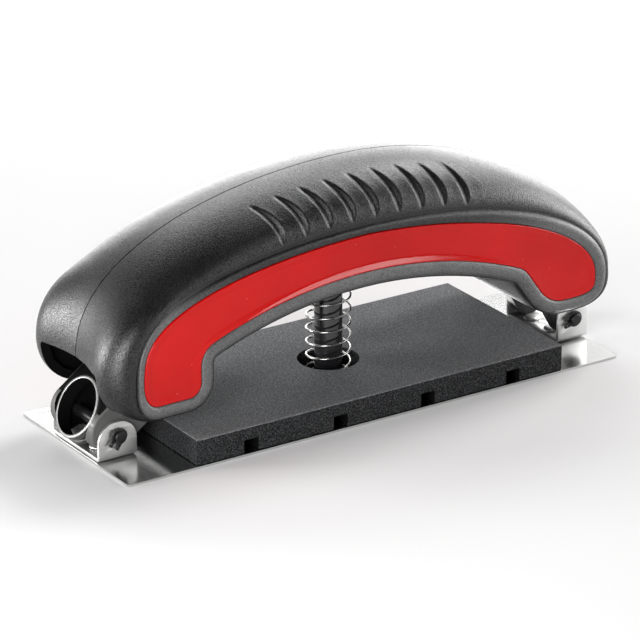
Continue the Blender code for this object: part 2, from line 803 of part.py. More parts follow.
def make_spring(material):
    """One unbroken helix: a close turn at each end, an even pitch between."""
    height = spring_top - spring_bottom - spring_wire
    active = max(round((height - 2 * spring_end_pitch) / spring_pitch), 1)
    pitch = (height - 2 * spring_end_pitch) / active
    turns = active + 2
    radius = (spring_outer - spring_wire) / 2
    points = []
    for i in range(turns * turn_points + 1):
        turn = i / turn_points
        rise = spring_end_pitch * min(turn, 1.0) + pitch * min(max(turn - 1.0, 0.0), active)
        rise += spring_end_pitch * max(turn - 1.0 - active, 0.0)
        angle = 2 * math.pi * turn
        points.append(Vector((column_x + radius * math.cos(angle), radius * math.sin(angle),
                              spring_bottom + spring_wire / 2 + rise)))
    least = min((points[i] - points[j]).length for i in range(len(points))
                for j in range(i + turn_points // 2, len(points)))
    print("return_spring least gap to itself:", round((least - spring_wire) * 1000, 3), "mm")
    curve = bpy.data.curves.new("return_spring", "CURVE")
    curve.dimensions = "3D"
    curve.bevel_depth = spring_wire / 2
    curve.bevel_resolution = 1
    curve.use_fill_caps = True
    spline = curve.splines.new("POLY")
    spline.points.add(len(points) - 1)
    for target, point in zip(spline.points, points):
        target.co = (*point, 1.0)
    curve.materials.append(material)
    spring = bpy.data.objects.new("return_spring", curve)
    bpy.context.scene.collection.objects.link(spring)
    return spring


def snap_ring(name, material, inner, width, thickness, lug, matrix):
    """An open ring with two square lugs at its mouth, flat in XY before the matrix turns it."""
    outer = inner + width
    lug_far = lug * clip_lug_share
    lug_near = lug_far * clip_mouth_share
    steps = small_steps + 2
    first = math.asin(lug_far / outer)
    outline = []
    for i in range(steps + 1):
        turn = first + (2 * math.pi - 2 * first) * i / steps
        outline.append((outer * math.cos(turn), outer * math.sin(turn)))
    outline += [(outer + lug, -lug_far), (outer + lug, -lug_near)]
    first = math.asin(lug_near / inner)
    for i in range(steps + 1):
        turn = -first - (2 * math.pi - 2 * first) * i / steps
        outline.append((inner * math.cos(turn), inner * math.sin(turn)))
    outline += [(outer + lug, lug_near), (outer + lug, lug_far)]
    bm = bmesh.new()
    add_rows(bm, [[matrix @ Vector((x, y, z)) for x, y in outline] for z in (0.0, thickness)])
    return add_object(name, bm, material)


def make_bracket(name, x, length, corner_radius, material):
    """A strip bent up at both ends, with rounded ears."""
    outline = []
    bend = bracket_bend
    for side in (-1, 1):
        corner = []
        for i in range(corner_steps):
            turn = math.pi / 2 * i / (corner_steps - 1)
            corner.append((side * (ear_outer - bend + bend * math.sin(turn)), deck + bend - bend * math.cos(turn)))
        outline.append(corner)
    inner_bend = bend - bracket_thickness
    outer_line = [(-ear_outer, ear_height)] + list(reversed(outline[0])) + outline[1] + [(ear_outer, ear_height)]
    inner_line = [(ear_inner, ear_height)]
    for side in (1, -1):
        corner = []
        for i in range(corner_steps):
            turn = math.pi / 2 * i / (corner_steps - 1)
            corner.append((side * (ear_inner - inner_bend + inner_bend * math.cos(turn)),
                           bracket_top + inner_bend - inner_bend * math.sin(turn)))
        inner_line += corner if side > 0 else list(reversed(corner))
    inner_line.append((-ear_inner, ear_height))
    section = outer_line + inner_line
    bm = bmesh.new()
    ends = (x - length / 2, x + length / 2)
    add_rows(bm, [[Vector((end, a, b)) for a, b in section] for end in ends])
    bracket = add_object(name, bm, material)
    trim = bmesh.new()
    window = rounded_rectangle((x, ear_height / 2), (length, ear_height), corner_radius, corner_steps)
    low = [(px, pz) for px, pz in window if pz > ear_height / 2]
    shape = low + [(x - length / 2 - overrun, ear_height / 2), (x - length / 2 - overrun, ear_height + overrun),
                   (x + length / 2 + overrun, ear_height + overrun), (x + length / 2 + overrun, ear_height / 2)]
    prism(trim, shape, -ear_outer - overrun, ear_outer + overrun)
    cut(bracket, add_object(name + "_trim", trim))
    holes = bmesh.new()
    rod(holes, x, pin_height, pin_diameter / 2 + gap, -ear_outer - overrun, ear_outer + overrun, round_steps)
    for y in (-rivet_spacing / 2, rivet_spacing / 2):
        radius = rivet_diameter / 2 + gap
        turned(holes, [(0.0, -overrun), (radius, -overrun), (radius, bracket_top + overrun / 2),
                       (0.0, bracket_top + overrun / 2)], small_steps,
               Matrix.Translation((x - rivet_set_back, y, 0.0)))
    cut(bracket, add_object(name + "_holes", holes))
    return bracket


def make_rivet(name, x, y, material):
    bottom = half_gap
    head = bracket_top + gap
    radius = rivet_head / 2
    profile = [(0.0, bottom), (rivet_diameter / 2, bottom), (rivet_diameter / 2, head), (radius, head),
               (radius * 0.94, head + rivet_head_height * 0.55), (radius * 0.6, head + rivet_head_height * 0.9),
               (0.0, head + rivet_head_height)]
    bm = bmesh.new()
    points = profile[1:-1]
    rings = []
    for r, height in points:
        rings.append([Vector((x + r * math.cos(2 * math.pi * i / small_steps),
                              y + r * math.sin(2 * math.pi * i / small_steps), height))
                      for i in range(small_steps)])
    add_rows(bm, rings)
    return add_object(name, bm, material)


def make_pin(name, x, material):
    radius = pin_diameter / 2
    groove = radius - clip_groove_depth
    inner = ear_outer + gap
    outer = inner + clip_thickness + 2 * gap
    half = [(radius, 0.0), (radius, inner), (groove, inner), (groove, outer), (radius, outer),
            (radius, pin_end - pin_chamfer), (radius - pin_chamfer, pin_end)]
    profile = [(0.0, -pin_end)] + [(r, -h) for r, h in reversed(half[1:])] + half[1:] + [(0.0, pin_end)]
    bm = bmesh.new()
    turned(bm, profile, small_steps, along_y(x, pin_height))
    return add_object(name, bm, material)


def make_pin_clip(name, x, side, mouth, material):
    inner = pin_diameter / 2 - clip_groove_depth + gap
    start = ear_outer + 2 * gap
    matrix = along_y(x, pin_height, side) @ Matrix.Translation((0.0, 0.0, start))
    matrix = matrix @ Matrix.Rotation(math.radians(mouth), 4, "Z")
    return snap_ring(name, material, inner, clip_width, clip_thickness, clip_lug, matrix)


def sleeve_matrix():
    """Carries a piece turned round Z to the sleeve's axis; Z points out of the sleeve's mouth."""
    turn = math.radians(sleeve_lean)
    out = Vector((-math.cos(turn), 0.0, math.sin(turn)))
    up = Vector((math.sin(turn), 0.0, math.cos(turn)))
    lip = Vector((left_pin_x, 0.0, pin_height)) + out * sleeve_reach + up * sleeve_offset
    return Matrix.Translation(lip) @ out.to_track_quat("Z", "Y").to_matrix().to_4x4()


def make_yoke(name, pin_x, lean, length, reach, rise, swell, bore_sleeve, material):
    bm = bmesh.new()
    prism(bm, yoke_outline(pin_x, lean, length, rise, swell), -yoke_half, yoke_half)
    yoke = add_object(name, bm, material)
    edge = yoke.modifiers.new("edges", "BEVEL")
    edge.width = yoke_edge
    edge.segments = 2
    edge.limit_method = "ANGLE"
    edge.angle_limit = math.radians(50)
    opening = bmesh.new()
    if bore_sleeve:
        radius = sleeve_outer_radius + sleeve_collar + gap
        turned(opening, [(0.0, -sleeve_bore_depth), (radius, -sleeve_bore_depth), (radius, sleeve_length),
                         (0.0, sleeve_length)], round_steps + 8, sleeve_matrix())
        cut(yoke, add_object(name + "_sleeve_bore", opening))
        opening = bmesh.new()
        roof = pin_height - rivet_relief
    else:
        roof = pin_height + yoke_radius * 1.35
    half = yoke_half - yoke_cheek
    box(opening, (pin_x - 2 * yoke_radius, -half, -overrun), (pin_x + 2 * yoke_radius, half, roof))
    cut(yoke, add_object(name + "_opening", opening))
    hole = bmesh.new()
    rod(hole, pin_x, pin_height, pin_diameter / 2 + gap, -yoke_half - overrun, yoke_half + overrun, round_steps)
    cut(yoke, add_object(name + "_pin_hole", hole))
    x, z = yoke_point(pin_x, lean, reach)
    radius = screw_diameter / 2 + gap
    slot = bmesh.new()
    outline = rounded_rectangle((x, z), (2 * (radius + yoke_play), 2 * radius), radius * 0.98, 4)
    prism(slot, outline, -yoke_half - overrun, yoke_half + overrun)
    cut(yoke, add_object(name + "_slot", slot))
    return yoke


def make_sleeve(material):
    bore = sleeve_bore / 2
    outer = sleeve_outer_radius
    collar = outer + sleeve_collar
    edge = (outer - bore) / 3
    profile = [(bore, -sleeve_length), (bore, -edge), (bore + edge, 0.0), (outer - edge, 0.0), (outer, -edge),
               (outer, -sleeve_lip_length), (collar, -sleeve_lip_length), (collar, -sleeve_length)]
    bm = bmesh.new()
    turned(bm, profile, round_steps + 8, sleeve_matrix())
    return add_object("end_sleeve", bm, material)


def make_screw(name, x, z, material):
    head = screw_head_outer() - gap
    radius = screw_diameter / 2
    profile = [(0.0, -head), (screw_head / 2, -head), (screw_head / 2, -head + screw_head_height * 0.6),
               (radius, -head + screw_head_height - gap), (radius, -head + screw_length - 2 * gap),
               (0.0, -head + screw_length - 2 * gap)]
    bm = bmesh.new()
    turned(bm, profile, small_steps, along_y(x, z))
    return add_object(name, bm, material)


def main():
    for thing in list(bpy.data.objects):
        bpy.data.objects.remove(thing, do_unlink=True)

    shell = make_material("shell plastic", (0.09, 0.09, 0.095), 0.55, 0.0)
    red = make_material("red cover", (0.62, 0.015, 0.012), 0.25, 0.0)
    spring_steel = make_material("spring steel", (0.62, 0.63, 0.64), 0.12, 1.0)
    bright = make_material("bracket steel", (0.66, 0.66, 0.66), 0.25, 1.0)
    black_steel = make_material("black steel", (0.02, 0.02, 0.022), 0.3, 0.8)
    foam = make_material("pad foam", (0.07, 0.07, 0.073), 0.9, 0.0)
    cast = make_material("yoke casting", (0.3, 0.3, 0.29), 0.5, 0.8)
    nylon = make_material("bush nylon", (0.05, 0.05, 0.05), 0.45, 0.0)

    make_plate(spring_steel)
    make_pad(foam)
    make_column(black_steel)
    make_washer(bright)
    make_spring(bright)
    ring_place = Matrix.Translation((column_x, 0.0, column_ring_bottom))
    snap_ring("column_clip", black_steel, column_radius - ring_groove_depth + gap, ring_width, ring_thickness,
              clip_lug, ring_place)
    make_bush(nylon)

    ends = (("left", left_bracket_x, left_bracket_length, left_ear_corner, left_clip_mouth),
            ("right", right_bracket_x, right_bracket_length, right_ear_corner, right_clip_mouth))
    for end, x, length, corner_radius, mouth in ends:
        make_bracket(end + "_bracket", x, length, corner_radius, bright)
        make_pin(end + "_pin", x, black_steel)
        for place, side in (("near", -1), ("far", 1)):
            make_rivet(end + "_rivet_" + place, x - rivet_set_back, side * rivet_spacing / 2, bright)
            make_pin_clip(end + "_clip_" + place, x, side, mouth * -side, black_steel)

    make_yoke("left_yoke", left_pin_x, left_yoke_lean, left_yoke_length, left_screw_reach, left_yoke_rise,
              left_yoke_swell, True, cast)
    make_yoke("right_yoke", right_pin_x, right_yoke_lean, right_yoke_length, right_screw_reach, 0.0, 0.0, False,
              black_steel)
    make_sleeve(black_steel)

    make_shell("handle_shell_near", -1, shell)
    make_shell("handle_shell_far", 1, shell)
    make_inlay("inlay_near", -1, red)
    make_inlay("inlay_far", 1, red)
    for name, (x, z) in screw_places().items():
        make_screw(name, x, z, bright)


main()
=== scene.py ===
# Adjustable sanding block: the dressed model. Metres, in the frame of its solids.
import math

import bmesh
import bpy
from mathutils import Matrix, Vector
from mathutils.kdtree import KDTree


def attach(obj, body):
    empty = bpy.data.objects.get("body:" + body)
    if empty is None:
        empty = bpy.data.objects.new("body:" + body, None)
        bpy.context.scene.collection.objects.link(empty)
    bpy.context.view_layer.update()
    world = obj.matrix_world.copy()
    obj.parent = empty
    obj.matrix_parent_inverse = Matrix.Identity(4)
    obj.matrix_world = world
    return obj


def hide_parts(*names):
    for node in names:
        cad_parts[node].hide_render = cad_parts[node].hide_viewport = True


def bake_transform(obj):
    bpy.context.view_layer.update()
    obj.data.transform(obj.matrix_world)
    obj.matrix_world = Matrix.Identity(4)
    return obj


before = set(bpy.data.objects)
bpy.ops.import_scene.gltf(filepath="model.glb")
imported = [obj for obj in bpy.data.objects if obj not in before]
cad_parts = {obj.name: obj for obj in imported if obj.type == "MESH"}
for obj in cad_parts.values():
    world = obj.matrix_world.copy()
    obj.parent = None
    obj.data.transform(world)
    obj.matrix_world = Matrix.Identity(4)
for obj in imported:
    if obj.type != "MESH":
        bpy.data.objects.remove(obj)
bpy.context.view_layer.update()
mm = 0.001
clear = 0.3 * mm  # what touching pieces leave between them
merge, touch = 1e-7, 1e-6  # points this close are one, or lie on the same face
print("frame loaded", len(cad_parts), "nodes")


# Small tools

def flatMix(a, b, share):
    return a + (b - a) * share


def easeShare(value):
    value = min(max(value, 0.0), 1.0)
    return value * value * (3 - 2 * value)


def tableAt(table, place):
    # reads a (place, value) table, straight between its rows
    if place <= table[0][0]:
        return table[0][1]
    for (a, low), (b, high) in zip(table, table[1:]):
        if place <= b:
            return flatMix(low, high, (place - a) / (b - a))
    return table[-1][1]


def vertsOf(geom):
    return [each for each in geom if isinstance(each, bmesh.types.BMVert)]


def borders(bm):
    return [edge for edge in bm.edges if edge.is_boundary]


def startLoop(bm, points, closed):
    # a circle or a chain, shaped to its first outline
    if closed:
        bmesh.ops.create_circle(bm, segments=len(points), radius=1.0)
        ring = bm.verts[-len(points):]
    else:
        ring = [bm.verts.new(point) for point in points]
        for a, b in zip(ring, ring[1:]):
            bm.edges.new((a, b))
    for vert, point in zip(ring, points):
        vert.co = point
    return ring


def pullLoop(bm, ring, points, closed):
    # extrudes the loop's edges and sets the new loop on its outline
    pairs = list(zip(ring, ring[1:])) + ([(ring[-1], ring[0])] if closed else [])
    edges = [bm.edges.get(pair) for pair in pairs]
    old = set(ring)
    grown = bmesh.ops.extrude_edge_only(bm, edges=edges)["geom"]
    twin = {}
    for vert in vertsOf(grown):
        for edge in vert.link_edges:
            other = edge.other_vert(vert)
            if other in old and (other.co - vert.co).length < 1e-9:
                twin[other] = vert
    fresh = [twin[vert] for vert in ring]
    for vert, point in zip(fresh, points):
        vert.co = point
    return fresh


def loft(bm, rows, closed=True, capped=True):
    bm.verts.ensure_lookup_table()
    ring = startLoop(bm, rows[0], closed)
    for row in rows[1:]:
        ring = pullLoop(bm, ring, row, closed)
    if capped:
        bmesh.ops.holes_fill(bm, edges=borders(bm), sides=0)


def turnProfile(bm, profile, steps, place):
    # spins (radius, height) points all the way round Z, then sets the result in place
    verts = [bm.verts.new((radius, 0.0, height)) for radius, height in profile]
    edges = [bm.edges.new(pair) for pair in zip(verts, verts[1:])]
    if profile[0][0] > 0.0:
        edges.append(bm.edges.new((verts[-1], verts[0])))
    bmesh.ops.spin(bm, geom=verts + edges, cent=(0, 0, 0), axis=(0, 0, 1), dvec=(0, 0, 0), angle=2 * math.pi,
                   steps=steps, use_merge=True, use_normal_flip=False, use_duplicate=False)
    bmesh.ops.remove_doubles(bm, verts=bm.verts[:], dist=merge)
    bmesh.ops.transform(bm, matrix=place, verts=bm.verts[:])


def softenProfile(profile, radius, steps=3, most=0.45):
    # rounds each inner corner of an open (radius, height) profile, over at most this share of a side
    points = [Vector(p) for p in profile]
    soft = [points[0]]
    for before, corner, after in zip(points, points[1:], points[2:]):
        a, b = before - corner, after - corner
        reach = min(radius, a.length * most, b.length * most)
        start, end = corner + a.normalized() * reach, corner + b.normalized() * reach
        for i in range(steps + 1):
            share = i / steps
            soft.append(start.lerp(corner, share).lerp(corner.lerp(end, share), share))
    return [tuple(p) for p in soft + [points[-1]]]


def at(place):
    return Matrix.Translation(place)


def alongY(x, z, side=1.0):
    return at((x, 0.0, z)) @ Matrix.Rotation(-side * math.pi / 2, 4, "X")


def roundOff(bm, geom, offset, segments, affect):
    bmesh.ops.bevel(bm, geom=geom, offset=offset, segments=segments, affect=affect, profile=0.5, material=-1)


def roundRod(bm, radius, length, place, steps=32):
    made = bmesh.ops.create_cone(bm, cap_ends=True, segments=steps, radius1=radius, radius2=radius, depth=length)
    bmesh.ops.transform(bm, matrix=place, verts=made["verts"])


def rodAcross(bm, x, z, radius, low, high, steps=32):
    roundRod(bm, radius, high - low, alongY(x, z) @ at((0, 0, (low + high) / 2)), steps)


def blockBetween(bm, low, high):
    made = bmesh.ops.create_cube(bm, size=1.0)
    size = [b - a for a, b in zip(low, high)]
    middle = [(a + b) / 2 for a, b in zip(low, high)]
    bmesh.ops.scale(bm, vec=size, verts=made["verts"])
    bmesh.ops.translate(bm, vec=middle, verts=made["verts"])


def roundedBox(centre, size, radius, steps=6):
    # an outline of (a, b) points with round corners, anticlockwise from the right
    points = []
    for quarter, (sx, sy) in enumerate(((1, 1), (-1, 1), (-1, -1), (1, -1))):
        for i in range(steps + 1):
            turn = math.pi / 2 * (quarter + i / steps)
            points.append((centre[0] + sx * (size[0] / 2 - radius) + radius * math.cos(turn),
                           centre[1] + sy * (size[1] / 2 - radius) + radius * math.sin(turn)))
    return points


def meshFrom(name, bm, mend=True):
    if mend:
        bmesh.ops.remove_doubles(bm, verts=bm.verts[:], dist=merge)
        bmesh.ops.recalc_face_normals(bm, faces=bm.faces[:])
    mesh = bpy.data.meshes.new(name)
    bm.to_mesh(mesh)
    bm.free()
    thing = bpy.data.objects.new(name, mesh)
    bpy.context.scene.collection.objects.link(thing)
    return thing


def solid(name, maker, *values):
    bm = bmesh.new()
    maker(bm, *values)
    return meshFrom(name, bm)


def carve(thing, tool, operation="DIFFERENCE"):
    # cuts with, or adds, a helper solid, and removes the helper
    step = thing.modifiers.new("carve", "BOOLEAN")
    step.operation, step.solver, step.object, step.material_mode = operation, "MANIFOLD", tool, "TRANSFER"
    bakeModifiers(thing)
    spent = tool.data
    bpy.data.objects.remove(tool)
    bpy.data.meshes.remove(spent)


def bakeModifiers(thing):
    seen = thing.evaluated_get(bpy.context.evaluated_depsgraph_get())
    fresh = bpy.data.meshes.new_from_object(seen)
    spent = thing.data
    thing.modifiers.clear()
    thing.data = fresh
    bpy.data.meshes.remove(spent)


def softEdges(thing, width, segments, angle):
    step = thing.modifiers.new("soft edges", "BEVEL")
    step.width, step.segments, step.profile = width, segments, 0.5
    step.limit_method, step.angle_limit = "ANGLE", math.radians(angle)
    bakeModifiers(thing)


def wear(thing, looks):
    # only these finishes, in this order, while the faces keep their numbers
    kept = [f.material_index for f in thing.data.polygons]
    thing.data.materials.clear()
    for look in looks.split():
        thing.data.materials.append(finishes[look])
    thing.data.polygons.foreach_set("material_index", kept)
    return thing


def dress(thing, looks, node, body, sharp):
    # shades the piece, gives it its finishes and its place in the frame
    wear(thing, looks)
    thing.data.shade_smooth()
    thing.data.set_sharp_from_angle(angle=math.radians(sharp))
    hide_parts(node)
    if body:
        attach(thing, body)


# Shader tools

def feed(tree, value, socket):
    # links an output to the socket, or sets a plain value
    if isinstance(value, bpy.types.NodeSocket):
        tree.links.new(value, socket)
    else:
        socket.default_value = value


def newGroup(name, numbers, outputs):
    # a group that takes a Vector and named numbers
    tree = bpy.data.node_groups.new(name, "ShaderNodeTree")
    addSocket = tree.interface.new_socket
    addSocket(name="Vector", in_out="INPUT", socket_type="NodeSocketVector")
    for label, value in numbers.items():
        addSocket(name=label, in_out="INPUT", socket_type="NodeSocketFloat").default_value = value
    for label in outputs:
        addSocket(name=label, in_out="OUTPUT", socket_type="NodeSocketFloat")
    return tree, tree.nodes.new("NodeGroupInput").outputs, tree.nodes.new("NodeGroupOutput").inputs


def mathNode(tree, operation, a, b, clamp=False):
    node = tree.nodes.new("ShaderNodeMath")
    node.operation, node.use_clamp = operation, clamp
    feed(tree, a, node.inputs[0])
    feed(tree, b, node.inputs[1])
    return node.outputs[0]


def dotNode(tree, a, b):
    node = tree.nodes.new("ShaderNodeVectorMath")
    node.operation = "DOT_PRODUCT"
    feed(tree, a, node.inputs[0])
    feed(tree, b, node.inputs[1])
    return node.outputs["Value"]


def noiseNode(tree, vector, scale, detail, roughness=0.5):
    node = tree.nodes.new("ShaderNodeTexNoise")
    for label, value in (("Vector", vector), ("Scale", scale), ("Detail", detail), ("Roughness", roughness)):
        feed(tree, value, node.inputs[label])
    return node.outputs[0]


def cellNode(tree, vector, scale):
    node = tree.nodes.new("ShaderNodeTexVoronoi")
    feed(tree, vector, node.inputs["Vector"])
    feed(tree, scale, node.inputs["Scale"])
    return node.outputs


def rangeNode(tree, value, low, high, newLow, newHigh):
    node = tree.nodes.new("ShaderNodeMapRange")
    tree.links.new(value, node.inputs[0])
    for i, number in enumerate((low, high, newLow, newHigh)):
        node.inputs[i + 1].default_value = number
    return node.outputs[0]


def makeGrainGroup():
    # moulded or cast grain: a height for bump, a slow mottle and a fine speckle for colour and gloss
    tree, into, out = newGroup("surface grain", {"Grain Scale": 1500.0, "Mottle Scale": 60.0},
                               ("Height", "Mottle", "Speckle"))
    noise = noiseNode(tree, into["Vector"], into["Grain Scale"], 1.0)
    cells = cellNode(tree, into["Vector"], mathNode(tree, "MULTIPLY", into["Grain Scale"], 0.8))
    height = mathNode(tree, "ADD", mathNode(tree, "MULTIPLY", noise, 0.6),
                      mathNode(tree, "MULTIPLY", cells["Distance"], 0.5))
    tree.links.new(height, out["Height"])
    tree.links.new(noiseNode(tree, into["Vector"], into["Mottle Scale"], 3.0, 0.6), out["Mottle"])
    tree.links.new(rangeNode(tree, noise, 0.35, 0.65, 0.0, 1.0), out["Speckle"])
    return tree


def makeEdgeGroup():
    # a mask that is high where a hard edge has been rubbed
    tree, into, out = newGroup("rubbed edges", {"Radius": 0.0003, "Patch Scale": 300.0}, ("Mask",))
    bevel = tree.nodes.new("ShaderNodeBevel")
    bevel.samples = 4
    tree.links.new(into["Radius"], bevel.inputs["Radius"])
    plain = tree.nodes.new("ShaderNodeNewGeometry").outputs["Normal"]
    edge = rangeNode(tree, dotNode(tree, bevel.outputs[0], plain), 0.995, 0.85, 0.0, 1.0)
    patch = rangeNode(tree, noiseNode(tree, into["Vector"], into["Patch Scale"], 3.0), 0.4, 0.6, 0.15, 1.0)
    tree.links.new(mathNode(tree, "MULTIPLY", edge, patch, True), out["Mask"])
    return tree


def makeDustGroup():
    # sparse pale specks
    tree, into, out = newGroup("dust specks", {"Speck Scale": 500.0, "Amount": 0.08}, ("Mask",))
    cells = cellNode(tree, into["Vector"], into["Speck Scale"])
    near = rangeNode(tree, cells["Distance"], 0.12, 0.22, 1.0, 0.0)
    pick = tree.nodes.new("ShaderNodeSeparateColor")
    tree.links.new(cells["Color"], pick.inputs[0])
    some = mathNode(tree, "LESS_THAN", pick.outputs[0], into["Amount"])
    tree.links.new(mathNode(tree, "MULTIPLY", near, some, True), out["Mask"])
    return tree


grainGroup, edgeGroup, dustGroup = makeGrainGroup(), makeEdgeGroup(), makeDustGroup()


class Finish:
    # one material under construction: its tree, its shader and the object coordinates

    def __init__(self, name, colour, roughness, metallic, specular):
        self.material = bpy.data.materials.new(name)
        self.material.use_nodes = True
        self.tree = self.material.node_tree
        self.shader = self.tree.nodes["Principled BSDF"]
        self.base = (*colour, 1.0)
        for label, value in (("Base Color", self.base), ("Roughness", roughness), ("Metallic", metallic),
                             ("Specular IOR Level", specular)):
            self.shader.inputs[label].default_value = value
        self.coords = self.tree.nodes.new("ShaderNodeTexCoord").outputs["Object"]

    def group(self, tree, **values):
        node = self.tree.nodes.new("ShaderNodeGroup")
        node.node_tree = tree
        self.tree.links.new(self.coords, node.inputs["Vector"])
        for label, value in values.items():
            node.inputs[label.replace("_", " ")].default_value = value
        return node.outputs

    def spread(self, value, low, high, newLow=0.0, newHigh=1.0):
        return rangeNode(self.tree, value, low, high, newLow, newHigh)

    def times(self, value, factor):
        return mathNode(self.tree, "MULTIPLY", value, factor)

    def blendColour(self, mask, colour):
        # lays a colour over what is there, by a mask
        node = self.tree.nodes.new("ShaderNodeMix")
        node.data_type = "RGBA"
        self.tree.links.new(mask, node.inputs["Factor"])
        feed(self.tree, self.base, node.inputs["A"])
        node.inputs["B"].default_value = (*colour, 1.0)
        self.base = node.outputs["Result"]
        self.tree.links.new(self.base, self.shader.inputs["Base Color"])

    def varyRoughness(self, value, low, high):
        self.tree.links.new(self.spread(value, 0.3, 0.7, low, high), self.shader.inputs["Roughness"])

    def bump(self, height, depth, strength):
        node = self.tree.nodes.new("ShaderNodeBump")
        node.inputs["Distance"].default_value = depth
        node.inputs["Strength"].default_value = strength
        self.tree.links.new(height, node.inputs["Height"])
        self.tree.links.new(node.outputs[0], self.shader.inputs["Normal"])


def scaled(colour, factor):
    return tuple(c * factor for c in colour)


shellLook = {"roughness": (0.32, 0.30, 0.38), "grain": 2800.0, "mottle": 45.0, "specks": 0.4, "coatRoughness": 0.42,
             "paintedShadeFrom": 0.050, "paintedShadeTo": 0.060, "depth": 0.0002, "bump": 0.9}
coverLook = {"roughness": (0.2, 0.1, 0.16), "specular": 0.26, "grain": 420.0, "mottle": 16.0, "dustScale": 700.0,
             "dustAmount": 0.02, "dust": 0.2, "depth": 0.00002, "bump": 0.25}
foamLook = {"roughness": (0.8, 0.78, 0.95), "specular": 0.1, "mottle": 70.0, "pit": 0.65, "pitShade": 0.25, "bump": 0.9}
metalLook = {"grain": 900.0, "mottle": 120.0, "shade": 0.75, "edgeRadius": 0.00035, "patch": 350.0, "depth": 0.00003,
             "roughness": (0.75, 1.3)}


def shellFinish(name, colour, bright, sheen, paintedShade=None):
    look = shellLook
    finish = Finish(name, colour, look["roughness"][0], 0.0, sheen * 0.5)
    grain = finish.group(grainGroup, Grain_Scale=look["grain"], Mottle_Scale=look["mottle"])
    finish.blendColour(finish.spread(grain["Mottle"], 0.35, 0.65, 0.0, 0.5), bright)
    finish.blendColour(finish.times(grain["Speckle"], look["specks"]), scaled(bright, 2))
    finish.varyRoughness(grain["Mottle"], *look["roughness"][1:])
    finish.tree.links.new(grain["Speckle"], finish.shader.inputs["Coat Weight"])  # glossier specks
    finish.shader.inputs["Coat Roughness"].default_value = look["coatRoughness"]
    if paintedShade:
        # painted shade: the rim is darkened above a height, so that its upper part looks as dark as the dome
        place = finish.tree.nodes.new("ShaderNodeSeparateXYZ")
        finish.tree.links.new(finish.coords, place.inputs[0])
        finish.blendColour(finish.spread(place.outputs["Z"], look["paintedShadeFrom"], look["paintedShadeTo"]), paintedShade)
    finish.bump(grain["Height"], look["depth"], look["bump"])
    return finish.material


def coverFinish(name, colour, deep, dustColour):
    look = coverLook
    finish = Finish(name, colour, look["roughness"][0], 0.0, look["specular"])
    grain = finish.group(grainGroup, Grain_Scale=look["grain"], Mottle_Scale=look["mottle"])
    finish.blendColour(finish.spread(grain["Mottle"], 0.35, 0.65), deep)
    dust = finish.group(dustGroup, Speck_Scale=look["dustScale"], Amount=look["dustAmount"])
    finish.blendColour(finish.times(dust["Mask"], look["dust"]), dustColour)
    finish.varyRoughness(grain["Mottle"], *look["roughness"][1:])
    finish.bump(grain["Height"], look["depth"], look["bump"])
    return finish.material


def foamFinish(name, colour, bright, scale, depth, cell):
    look = foamLook
    finish = Finish(name, colour, look["roughness"][0], 0.0, look["specular"])
    grain = finish.group(grainGroup, Grain_Scale=scale, Mottle_Scale=look["mottle"])
    finish.blendColour(finish.spread(grain["Speckle"], 0.35, 0.85), bright)
    # the foam's open pits: sunk by the bump, and darkened inside as painted shade
    pit = finish.spread(cellNode(finish.tree, finish.coords, cell)["Distance"], 0.15, 0.4, look["pit"], 0.0)
    finish.blendColour(pit, scaled(colour, look["pitShade"]))
    finish.varyRoughness(grain["Mottle"], *look["roughness"][1:])
    finish.bump(mathNode(finish.tree, "SUBTRACT", grain["Height"], pit), depth, look["bump"])
    return finish.material


def metalFinish(name, colour, roughness, metallic=1.0, *, bump, streak=None, edge=None, sheen=0.5):
    look = metalLook
    finish = Finish(name, colour, roughness, metallic, sheen)
    grain = finish.group(grainGroup, Grain_Scale=look["grain"], Mottle_Scale=look["mottle"])
    finish.blendColour(finish.spread(grain["Mottle"], 0.3, 0.7, 0.0, 0.35), scaled(colour, look["shade"]))
    source, height = grain["Mottle"], grain["Height"]
    if streak:
        stretch = finish.tree.nodes.new("ShaderNodeMapping")
        stretch.inputs["Scale"].default_value = streak
        finish.tree.links.new(finish.coords, stretch.inputs["Vector"])
        source = height = noiseNode(finish.tree, stretch.outputs[0], 1.0, 3.0, 0.6)
    if edge:
        rubbed = finish.group(edgeGroup, Radius=look["edgeRadius"], Patch_Scale=look["patch"])
        finish.blendColour(rubbed["Mask"], edge)
    finish.varyRoughness(source, *(roughness * factor for factor in look["roughness"]))
    finish.bump(height, look["depth"], bump)
    return finish.material


